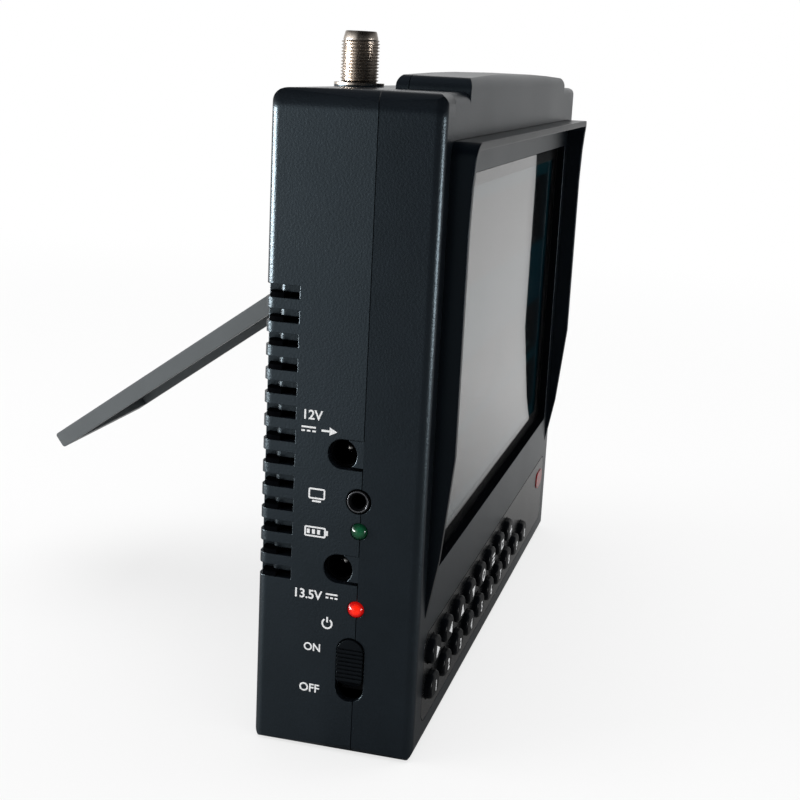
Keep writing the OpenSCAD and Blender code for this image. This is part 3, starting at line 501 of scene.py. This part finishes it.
def lathe(bm, rows, axis):
    """Joins rings of (radius or function of the angle, height) into one skin that closes on itself."""
    rings = []
    for radius, z in rows:
        ring = []
        for i in range(TURN_STEPS):
            a = math.tau * i / TURN_STEPS
            r = radius(z, a) if callable(radius) else radius
            ring.append(bm.verts.new(Vector((axis.x + r * math.cos(a), axis.y + r * math.sin(a), z)) * MM))
        rings.append(ring)
    for k in range(len(rings)):
        one, two = rings[k], rings[(k + 1) % len(rings)]
        for i in range(TURN_STEPS):
            j = (i + 1) % TURN_STEPS
            bm.faces.new((one[i], one[j], two[j], two[i]))


def aerial_socket():
    foot = AERIAL_LOW.z / MM
    thread_end = AERIAL_TIP - TAPER
    turns = (thread_end - WASHER_TOP) / THREAD_PITCH
    count = int(turns * ROWS_PER_TURN)
    rows = [(BORE_R, foot), (SHANK_R, foot), (SHANK_R, WASHER_TOP)]
    rows += [(thread_radius, WASHER_TOP + (thread_end - WASHER_TOP) * i / count) for i in range(count + 1)]
    rows += [(radius, AERIAL_TIP - below) for radius, below in MOUTH_PROFILE]
    bm = bmesh.new()
    lathe(bm, rows, AERIAL_AXIS)
    made = piece("threaded_socket", bm, "case", LOOKS["nickel"], smooth=True)
    made.data.set_sharp_from_angle(angle=math.radians(35))
    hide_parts("f_connector")


aerial_socket()


# Display: panel in its frame, black border behind the lens, generic picture

LCD_LOW, LCD_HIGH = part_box("lcd_module")
LENS_LOW, LENS_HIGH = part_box("screen_lens")
SCREEN_W, SCREEN_H = 154.0, 87.0
LCD_MID = (LCD_LOW + LCD_HIGH) / 2 / MM
PANEL_GAP, PANEL_SUNK = 0.25, 0.3
FRAME_LIP, FRAME_R, FRAME_INNER_R = 1, 1.5, 0.4
BORDER_INNER_R, BORDER_R = 0.5, 2
PICTURE_GLOW = 0.22


def screen_axes(behind):
    """Axes on the screen's middle, `behind` millimetres behind the lens: x right, y up, z to the front."""
    return sheet_axes((LCD_MID.x, LENS_HIGH.y / MM + behind, LCD_MID.z), (1, 0, 0), (0, 0, 1))


def display():
    half_w, half_h = (LCD_HIGH.x - LCD_LOW.x) / 2 / MM, (LCD_HIGH.z - LCD_LOW.z) / 2 / MM
    depth = (LCD_HIGH.y - LCD_LOW.y) / MM
    axes = screen_axes(0)
    outer = round_rect(-half_w, -half_h, half_w, half_h, FRAME_R)
    panel_w, panel_h = SCREEN_W / 2 + FRAME_LIP, SCREEN_H / 2 + FRAME_LIP
    inner = round_rect(-panel_w, -panel_h, panel_w, panel_h, FRAME_INNER_R)
    bm = bmesh.new()
    band(bm, inner, outer, -depth, -PANEL_GAP, axes)
    body = piece("display_frame", bm, "case", LOOKS["display"])
    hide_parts("lcd_module")
    bm = bmesh.new()
    slab(bm, inner, -depth, -PANEL_GAP - PANEL_SUNK, axes)
    picture = glowing("picture_blue", (0.002, 0.040, 0.066), (0.004, 0.075, 0.095), 60, PICTURE_GLOW)
    piece("display_panel", bm, "case", picture)
    lens_w, lens_h = (LENS_HIGH.x - LENS_LOW.x) / 2 / MM, (LENS_HIGH.z - LENS_LOW.z) / 2 / MM
    border = Sign(screen_axes(0.04), thick=0.02, sunk=0.08)
    band(border.bm, round_rect(-SCREEN_W / 2, -SCREEN_H / 2, SCREEN_W / 2, SCREEN_H / 2, BORDER_INNER_R),
         round_rect(-lens_w, -lens_h, lens_w, lens_h, BORDER_R), border.low, border.high, border.axes)
    border.done("lens_border", "case", MASK)


display()

TILE = glowing("picture_tile", (0.004, 0.003, 0.0025), (0.010, 0.007, 0.006), 25, PICTURE_GLOW)
TILE_MARK = glowing("picture_mark", (0.05, 0.09, 0.1), (0.06, 0.11, 0.12), 20, PICTURE_GLOW)


TILES_ACROSS, TILE_ROWS = 4, 2
TILE_HEIGHT, TILE_GAP, TILE_R = 17.0, 3.0, 2
FIELD_HEIGHT, MARGIN_UP, MARGIN_SIDE = 22, 4, 5


def display_tiles():
    """A plain menu: one wide field above, and two rows of tiles below, each with a bar."""
    axes = screen_axes(PANEL_GAP + PANEL_SUNK)
    tiles = Sign(axes, thick=0.05, sunk=0.05)
    marks = Sign(axes, thick=0.08, sunk=0.0)
    top, bottom, side = SCREEN_H / 2 - MARGIN_UP, -SCREEN_H / 2 + MARGIN_UP, SCREEN_W / 2 - MARGIN_SIDE
    tiles.fill(round_rect(-side, top - FIELD_HEIGHT, side, top, TILE_R))
    tile_w = (2 * side - TILE_GAP * (TILES_ACROSS - 1)) / TILES_ACROSS
    for row in range(TILE_ROWS):
        for column in range(TILES_ACROSS):
            x, y = -side + column * (tile_w + TILE_GAP), bottom + row * (TILE_HEIGHT + TILE_GAP)
            tiles.fill(round_rect(x, y, x + tile_w, y + TILE_HEIGHT, TILE_R))
            marks.bar(x + 5, y + 4, x + tile_w * (0.45 + 0.12 * ((column + row) % 3)), y + 4, 1.6)
            marks.disc(x + 8, y + 11, 2.6)
    tiles.done("display_tiles", "case", TILE)
    marks.done("display_marks", "case", TILE_MARK)


display_tiles()


# Dark linings: one over the wall of the screen's window, and painted shade on the floors of the vent slits
# in the rear corners

CASE_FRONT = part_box("front_shell")[0].y / MM
WINDOW_W, WINDOW_H, WINDOW_LOW, WINDOW_R = 168.0, 96.0, 44.2, 2.0
LINING = 0.15
# A dark matt look, for the window's lining and for the painted shade in the vent slits
LINING_AND_SHADE_LOOK = moulded("dark_lining_and_painted_shade", (0.0015, 0.0018, 0.0025), 0.7, 0.2, 0.01, edge=0, ior=1.03)
VENTS, VENT_PITCH, VENT_LOW = 13, 5.68, 43.1
SLIT_HEIGHT, SLIT_BACK, SLIT_SIDE = 1.2, 4.6, 4.8
SLIT_SUNK, SLIT_ROUND, SLIT_FIT = 0.75, 2.6, 0.03


def window_lining():
    """A thin lining, darker than the case, over the window's wall round the lens."""
    half_w, mid = WINDOW_W / 2, WINDOW_LOW + WINDOW_H / 2
    axes = sheet_axes((0, LENS_LOW.y / MM, mid), (1, 0, 0), (0, 0, 1))
    outer = round_rect(-half_w, -WINDOW_H / 2, half_w, WINDOW_H / 2, WINDOW_R)
    inner = round_rect(-half_w + LINING, -WINDOW_H / 2 + LINING, half_w - LINING, WINDOW_H / 2 - LINING,
                       WINDOW_R - LINING)
    bm = bmesh.new()
    band(bm, inner, outer, 0.05, LENS_LOW.y / MM - CASE_FRONT - 0.1, axes)
    piece("window_lining", bm, "case", LINING_AND_SHADE_LOOK)


def vent_painted_shade():
    """Painted shade: dark sheets on the floors of the vent slits, where they turn the two rear corners."""
    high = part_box("rear_shell")[1]
    bm = bmesh.new()
    for side in (-1, 1):
        axes = sheet_axes((side * high.x / MM, high.y / MM, 0), (-side, 0, 0), (0, -side, 0))
        corner = arc(SLIT_SUNK + SLIT_ROUND, SLIT_SUNK + SLIT_ROUND, SLIT_ROUND, 180, 270, 7)
        plan = [(SLIT_SUNK, SLIT_SIDE)] + corner + [(SLIT_BACK, SLIT_SUNK), (SLIT_BACK, SLIT_SIDE)]
        for i in range(VENTS):
            foot = VENT_LOW + i * VENT_PITCH
            heights = (foot + SLIT_FIT, foot + SLIT_HEIGHT - SLIT_FIT)
            slab(bm, [(x, side * y) for x, y in plan], *heights, axes)
    piece("vent_painted_shade", bm, "case", LINING_AND_SHADE_LOOK)


window_lining()
vent_painted_shade()


# Printed signs on the left side

SIDE_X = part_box("rear_shell")[0].x / MM
# The rear facet's lean: its step inwards over its depth
LEAN = 0.90 / 23.2
STROKE = 0.42
RATING_CAP, ON_CAP, OFF_CAP = 2.3, 2.0, 2.15
# Radius and width of the ring of painted highlight round the sound and picture socket
AV_RIM_R, AV_RIM_W = 2.45, 0.28
# The rear end of each sign, as y in the frame
OUTPUT_SIGN_Y, PICTURE_SIGN_Y, CHARGE_SIGN_Y = 10.2, 7.9, 8.6
INPUT_RATING_Y, INPUT_SIGN_Y, POWER_SIGN_Y = 11.0, 2.6, 2.0
ON_SIGN_Y, OFF_SIGN_Y = 7.8, 8.6


def left_axes(y, z):
    """Axes on the left side's rear facet: x towards the front, y up, z out to the left."""
    x = SIDE_X + (y - PART_Y) * LEAN
    return sheet_axes((x, y, z), (-LEAN, -1, 0), (0, 0, 1))


def side_middle(node):
    low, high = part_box(node)
    return (low + high) / 2 / MM


def direct_current(sign, x, y, w):
    """The sign for direct current: a line over three dashes."""
    sign.bar(x, y + 0.85, x + w, y + 0.85, STROKE)
    dash = w / 4.2
    for i in range(3):
        start = x + i * (w - dash) / 2
        sign.bar(start, y - 0.05, start + dash, y - 0.05, STROKE)


def arrow(sign, x, y, w, h):
    """An arrow's head that points along x."""
    sign.fill([(x, y - h / 2), (x + w, y), (x, y + h / 2)])


def output_signs():
    z = side_middle("dc_output_pin").z
    words("sign_output_rating", "12V", RATING_CAP, left_axes(OUTPUT_SIGN_Y, z + 7.5), "case")
    sign = Sign(left_axes(OUTPUT_SIGN_Y, z + 4.3))
    direct_current(sign, 0, 0.4, 3.6)
    sign.bar(5.0, 0.8, 7.2, 0.8, 0.5)
    arrow(sign, 7.0, 0.8, 1.9, 2.0)
    sign.done("sign_output", "case")


def av_signs():
    """A grey ring of painted highlight round the sound and picture socket, for the shine of its rounded
    edge, and a screen beside it.
    """
    middle = side_middle("av_jack")
    face_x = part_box("av_jack")[0].x / MM
    rim = Sign(sheet_axes((face_x, middle.y, middle.z), (0, -1, 0), (0, 0, 1)))
    rim.ring(0, 0, AV_RIM_R, AV_RIM_W)
    rim.done("av_rim_highlight", "case", RIM)
    sign = Sign(left_axes(PICTURE_SIGN_Y, middle.z - 1.3))
    sign.box(0, 0.5, 4.2, 3.2, 0.4, 0.5)
    sign.bar(1.0, 0.0, 3.2, 0.0, 0.45)
    sign.done("sign_picture", "case")


def charge_sign():
    """A battery with three bars."""
    sign = Sign(left_axes(CHARGE_SIGN_Y, side_middle("charge_led").z - 2.9))
    sign.box(0, 0, 5.4, 2.6, 0.4, 0.4)
    sign.bar(5.7, 0.7, 5.7, 1.9, 0.5)
    for i in range(3):
        x = 1.0 + 1.3 * i
        sign.bar(x, 0.75, x, 1.85, 0.75)
    sign.done("sign_charge", "case")


def input_signs():
    z = side_middle("dc_input_pin").z
    words("sign_input_rating", "13.5V", RATING_CAP, left_axes(INPUT_RATING_Y, z - 8.6), "case")
    sign = Sign(left_axes(INPUT_SIGN_Y, z - 8.3))
    direct_current(sign, 0, 0.7, 3.0)
    sign.done("sign_input", "case")


def power_signs():
    """The power sign under its light, and the two places of the slide knob."""
    sign = Sign(left_axes(POWER_SIGN_Y, side_middle("power_led").z - 4.7))
    sign.ring(0, 0, 1.2, STROKE, 125, 415)
    sign.bar(0, 0.3, 0, 1.7, STROKE)
    sign.done("sign_power", "case")
    low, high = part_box("switch_knob")
    words("sign_on", "ON", ON_CAP, left_axes(ON_SIGN_Y, high.z / MM - 4.5), "case")
    words("sign_off", "OFF", OFF_CAP, left_axes(OFF_SIGN_Y, low.z / MM - 2.4), "case")


output_signs()
av_signs()
charge_sign()
input_signs()
power_signs()


# Signs on the keys

KEY_SIGN_SCALE = 1.35
DIGIT_CAP = 2.9
# Places of a sign and a digit on their key, across and up from its middle
SIGN_SHIFT, DIGIT_SHIFT = (0.6, -0.4), (-0.4, -1.9)
UPPER_SIGNS = [
    lambda s: s.fill([(-1.1, -1.2), (1.2, 0), (-1.1, 1.2)]),
    lambda s: s.fill([(1.1, 1.2), (-1.2, 0), (1.1, -1.2)]),
    lambda s: s.fill([(-1.3, -0.9), (1.3, -0.9), (0, 1.2)]),
    lambda s: s.fill([(1.3, 0.9), (-1.3, 0.9), (0, -1.2)]),
    lambda s: s.ring(0, 0, 1.1, 0.45),
    lambda s: [s.bar(-1.3, y, 1.3, y, 0.4) for y in (-0.9, 0, 0.9)],
    lambda s: s.box(-1.2, -1.0, 1.2, 1.0, 0.4, 0.3),
    lambda s: [s.bar(-1.2, 0, 1.2, 0, 0.45), s.bar(0, 0.24, 0, 1.2, 0.45), s.bar(0, -1.2, 0, -0.24, 0.45)],
]


def key_face(node, shift):
    """Axes on the front of a key, shifted across and up from its middle."""
    low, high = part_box(node)
    middle = (low + high) / 2 / MM
    return sheet_axes((middle.x + shift[0], low.y / MM, middle.z + shift[1]), (1, 0, 0), (0, 0, 1))


def key_signs():
    """Each key carries a plain sign; the lower row has the digits."""
    upper = [n for n in NODES if n.startswith("key_upper_")]
    lower = [n for n in NODES if n.startswith("key_lower_")]
    for i in range(len(upper)):
        node = f"key_upper_{i + 1}"
        sign = Sign(key_face(node, SIGN_SHIFT) @ Matrix.Scale(KEY_SIGN_SCALE, 4))
        UPPER_SIGNS[i % len(UPPER_SIGNS)](sign)
        sign.done(f"sign_{node}", node)
    for i in range(len(lower)):
        node = f"key_lower_{i + 1}"
        words(f"sign_{node}", str((i + 1) % 10), DIGIT_CAP, key_face(node, DIGIT_SHIFT), node)


key_signs()


# Case screws: pan heads with a cross recess, in the counterbores at the rear

SOLID_HEAD_R = 2.6
HEAD_R, HEAD_T, SHAFT_R = 2.55, 2.0, 1.35
# Radius and depth below the top along the head's rounding
HEAD_PROFILE = ((HEAD_R, 0.75), (HEAD_R - 0.15, 0.45), (HEAD_R - 0.5, 0.15), (1.75, 0.02))
CROSS_R, CROSS_W, CROSS_TOP, CROSS_SINK, CROSS_TAPER = 1.5, 0.42, 0.01, 0.9, 0.7
SCREW_STEPS = 48


def cross_radius(a, scale):
    """Radius of a cross with four arms at the angle a."""
    near = abs((a + math.pi / 4) % (math.pi / 2) - math.pi / 4)
    reach = CROSS_W * scale / max(math.sin(near), 1e-6)
    inner = CROSS_W * scale * math.sqrt(2)
    return max(min(reach, CROSS_R * scale / math.cos(near)), min(inner, CROSS_R * scale))


def screw(bm, top, length):
    """A closed screw along Y whose head faces +Y, with a cross sunk into it."""

    def ring(y, radius):
        points = []
        for i in range(SCREW_STEPS):
            a = math.tau * i / SCREW_STEPS
            r = radius(a) if callable(radius) else radius
            points.append(bm.verts.new((top + Vector((r * math.cos(a), y, r * math.sin(a)))) * MM))
        return points

    rings = [ring(-length, SHAFT_R), ring(-HEAD_T, SHAFT_R), ring(-HEAD_T, HEAD_R)]
    rings += [ring(-below, r) for r, below in HEAD_PROFILE]
    rings.append(ring(-CROSS_TOP, lambda a: cross_radius(a, 1.0)))
    rings.append(ring(-CROSS_SINK, lambda a: cross_radius(a, CROSS_TAPER)))
    for one, two in zip(rings, rings[1:]):
        for i in range(SCREW_STEPS):
            j = (i + 1) % SCREW_STEPS
            bm.faces.new((one[i], one[j], two[j], two[i]))
    bm.faces.new(rings[0])
    bm.faces.new(rings[-1])


def case_screws():
    """A screw at each of the corners that the frame gives."""
    low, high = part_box("case_screws")
    rear, front = high.y / MM, low.y / MM
    bm = bmesh.new()
    for x in (low.x / MM + SOLID_HEAD_R, high.x / MM - SOLID_HEAD_R):
        for z in (low.z / MM + SOLID_HEAD_R, high.z / MM - SOLID_HEAD_R):
            screw(bm, Vector((x, rear, z)), rear - front)
    made = piece("cross_screws", bm, "case", LOOKS["steel"], smooth=True)
    made.data.set_sharp_from_angle(angle=math.radians(30))
    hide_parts("case_screws")


case_screws()


# Camera, floor and light

CAMERA_PLACE = (-398.5876, -90.3740, 165.8065)
CAMERA_TURN = (-75.6557, 13.62795, 2.8955)
FOCAL_PIXELS = 1401.878
IMAGE_SIZE = 800


def camera():
    azimuth, elevation, roll = (math.radians(a) for a in CAMERA_TURN)
    back = Vector((math.sin(azimuth) * math.cos(elevation), -math.cos(azimuth) * math.cos(elevation),
                   math.sin(elevation)))
    right = (-back).cross(Vector((0, 0, 1))).normalized()
    up = right.cross(-back)
    across = math.cos(roll) * right + math.sin(roll) * up
    upward = -math.sin(roll) * right + math.cos(roll) * up
    data = bpy.data.cameras.new("photo_camera")
    data.sensor_width = 36.0
    data.sensor_fit = "HORIZONTAL"
    data.lens = FOCAL_PIXELS / IMAGE_SIZE * data.sensor_width
    data.clip_start, data.clip_end = 0.01, 50
    made = bpy.data.objects.new("photo_camera", data)
    turn = Matrix((across, upward, back)).transposed().to_4x4()
    made.matrix_world = Matrix.Translation(Vector(CAMERA_PLACE) * MM) @ turn
    bpy.context.scene.collection.objects.link(made)
    bpy.context.scene.camera = made


# How bright the surroundings look in a reflection, by the angle from the camera's side: turning
# towards the rear is above zero, and the dark stretch is a black flag round the camera
CAMERA_SIDE = (-0.969, -0.248, 0.0)
REAR_SIDE = (-0.248, 0.969, 0.0)
REFLECTED = ((-180, 1.0), (-150, 0.43), (-120, 0.28), (-85, 0.3), (-60, 0.12), (-45, 0.06), (18, 0.05),
             (27, 0.12), (35, 0.8), (44, 1.0), (97, 1.0), (118, 0.6), (140, 0.55), (180, 1.0))
# Share of that brightness that is left overhead, and the heights between which it falls
OVERHEAD, FALL_FROM, FALL_TO = 0.12, 0.2, 0.6
AMBIENT = 0.45
FLOOR_RADIUS = 6
FLOOR_MIDDLE = (-0.09, 0.0, 0.0)
# A painted shadow: in reflections the floor is darker by the object, from the near distance out to the far
# one
REFLECTED_SHADOW_NEAR, REFLECTED_SHADOW_FAR, REFLECTED_SHADOW_DARKEST, MIRROR_SHARE = 0.05, 0.45, 0.12, 0.8
# The camera sees less glow, and so more of the shadow, by the object
SHADOW_NEAR, SHADOW_FAR, SHADOW_GLOW = 0.25, 1.0, 0.72


def light_path(tree, kind):
    path = tree.nodes.new("ShaderNodeLightPath")
    return path.outputs[f"Is {kind} Ray"]


def ramp_range(tree, source, low, high, to_low, to_high):
    made = tree.nodes.new("ShaderNodeMapRange")
    made.interpolation_type = "SMOOTHSTEP"
    for name, value in (("From Min", low), ("From Max", high), ("To Min", to_low), ("To Max", to_high)):
        made.inputs[name].default_value = value
    tree.links.new(source, made.inputs["Value"])
    return made.outputs["Result"]


def vector_node(tree, operation, source, value):
    made = tree.nodes.new("ShaderNodeVectorMath")
    made.operation = operation
    tree.links.new(source, made.inputs[0])
    made.inputs[1].default_value = value
    return made.outputs["Value" if operation in ("DOT_PRODUCT", "LENGTH") else "Vector"]


def by_direction(tree, vector):
    """Reflected brightness in the direction of a vector, which may lie at any height."""
    near = vector_node(tree, "DOT_PRODUCT", vector, CAMERA_SIDE)
    rearward = vector_node(tree, "DOT_PRODUCT", vector, REAR_SIDE)
    turn = math_node(tree, "ARCTAN2", rearward, near)
    ramp = tree.nodes.new("ShaderNodeFloatCurve")
    curve = ramp.mapping.curves[0]
    ramp.mapping.use_clip = False
    points = [(0.5 + angle / 360, level) for angle, level in REFLECTED]
    curve.points[0].location, curve.points[1].location = points[0], points[-1]
    for point in points[1:-1]:
        curve.points.new(*point)
    for point in curve.points:
        point.handle_type = "VECTOR"
    ramp.mapping.update()
    tree.links.new(math_node(tree, "MULTIPLY_ADD", turn, 1 / math.tau, 0.5), ramp.inputs["Value"])
    return ramp.outputs["Value"]


def surroundings():
    world = bpy.data.worlds.new("white_studio")
    bpy.context.scene.world = world
    world.use_nodes = True
    tree = world.node_tree
    backdrop = tree.nodes["Background"]
    backdrop.inputs["Color"].default_value = (1, 1, 1, 1)
    place = tree.nodes.new("ShaderNodeTexCoord").outputs["Generated"]
    bounced = math_node(tree, "MAXIMUM", light_path(tree, "Glossy"), light_path(tree, "Transmission"))
    height = vector_node(tree, "DOT_PRODUCT", place, (0, 0, 1))
    to_top = ramp_range(tree, height, FALL_FROM, FALL_TO, 1.0, OVERHEAD)
    mirrored = math_node(tree, "MULTIPLY", by_direction(tree, place), to_top)
    glossy = math_node(tree, "MULTIPLY", bounced, mirrored)
    diffuse = math_node(tree, "MULTIPLY", light_path(tree, "Diffuse"), AMBIENT)
    total = math_node(tree, "ADD", math_node(tree, "MAXIMUM", light_path(tree, "Camera"), glossy), diffuse)
    tree.links.new(total, backdrop.inputs["Strength"])


def floor():
    """A pale floor: white but for the object's shadow, and darker by the object in reflections, which is a
    painted shadow.
    """
    bm = bmesh.new()
    bmesh.ops.create_circle(bm, cap_ends=True, segments=96, radius=FLOOR_RADIUS)
    mesh = bpy.data.meshes.new("floor")
    bm.to_mesh(mesh)
    bm.free()
    made = bpy.data.objects.new("floor", mesh)
    bpy.context.scene.collection.objects.link(made)
    look = bpy.data.materials.new("pale_floor")
    look.use_nodes = True
    tree = look.node_tree
    tree.nodes.clear()
    matt = tree.nodes.new("ShaderNodeBsdfDiffuse")
    matt.inputs["Color"].default_value = (0.85, 0.85, 0.85, 1)
    glow = tree.nodes.new("ShaderNodeEmission")
    glow.inputs["Color"].default_value = (1, 1, 1, 1)
    place = tree.nodes.new("ShaderNodeNewGeometry").outputs["Position"]
    away = vector_node(tree, "SUBTRACT", place, FLOOR_MIDDLE)
    distance = vector_node(tree, "LENGTH", away, (0, 0, 0))
    glossy = math_node(tree, "MAXIMUM", light_path(tree, "Glossy"), light_path(tree, "Transmission"))
    seen = light_path(tree, "Camera")
    # Painted shadow: the glow that reflections see falls off towards the object
    near = ramp_range(tree, distance, REFLECTED_SHADOW_NEAR, REFLECTED_SHADOW_FAR, REFLECTED_SHADOW_DARKEST, 1.0)
    mirrored = math_node(tree, "MULTIPLY", near, by_direction(tree, away))
    strength = math_node(tree, "MULTIPLY_ADD", glossy, mirrored, seen)
    tree.links.new(strength, glow.inputs["Strength"])
    shown = ramp_range(tree, distance, SHADOW_NEAR, SHADOW_FAR, SHADOW_GLOW, 1.0)
    share = math_node(tree, "MULTIPLY_ADD", glossy, MIRROR_SHARE, math_node(tree, "MULTIPLY", seen, shown))
    mix = tree.nodes.new("ShaderNodeMixShader")
    tree.links.new(share, mix.inputs[0])
    tree.links.new(matt.outputs[0], mix.inputs[1])
    tree.links.new(glow.outputs[0], mix.inputs[2])
    out = tree.nodes.new("ShaderNodeOutputMaterial")
    tree.links.new(mix.outputs[0], out.inputs["Surface"])
    mesh.materials.append(look)


def glare_free():
    """The lens and the stand, which the highlight boxes leave out: they would bleach from other sides."""
    kept_off = bpy.data.collections.new("glare_free")
    for name in ("screen_lens", "stand"):
        kept_off.objects.link(NODES[name])
    for entry in kept_off.collection_objects:
        entry.light_linking.link_state = "EXCLUDE"
    return kept_off


def softbox(name, place, aim, size, power, highlight=False):
    """A lamp box. A highlight box shows only in gloss, and any other only lights the colours."""
    data = bpy.data.lights.new(name, "AREA")
    data.shape = "RECTANGLE"
    data.size, data.size_y = size
    data.energy = power
    made = bpy.data.objects.new(name, data)
    made.location = place
    made.rotation_euler = (Vector(aim) - Vector(place)).to_track_quat("-Z", "Y").to_euler()
    made.visible_camera = False
    made.visible_diffuse = not highlight
    made.visible_glossy = highlight
    if highlight:
        made.light_linking.receiver_collection = GLARE_FREE
    bpy.context.scene.collection.objects.link(made)


camera()
surroundings()
floor()
GLARE_FREE = glare_free()
softbox("rear_window", (-0.39, 0.85, 0.08), (-0.09, 0.01, 0.08), (0.62, 0.15), 17.0, highlight=True)
softbox("front_strip", (-0.07, -0.616, 0.055), (-0.095, -0.018, 0.055), (0.2, 0.11), 1.5, highlight=True)
softbox("rear_light", (-0.39, 0.85, 0.36), (-0.09, 0.01, 0.09), (0.75, 0.7), 5.0)
softbox("top_light", (0.0, -0.1, 1.3), (0, 0, 0.05), (1.2, 1.2), 10.0)
softbox("front_light", (0.9, -1.2, 0.8), (0, 0, 0.08), (0.8, 0.8), 5.0)

bpy.context.scene.view_settings.view_transform = "Standard"
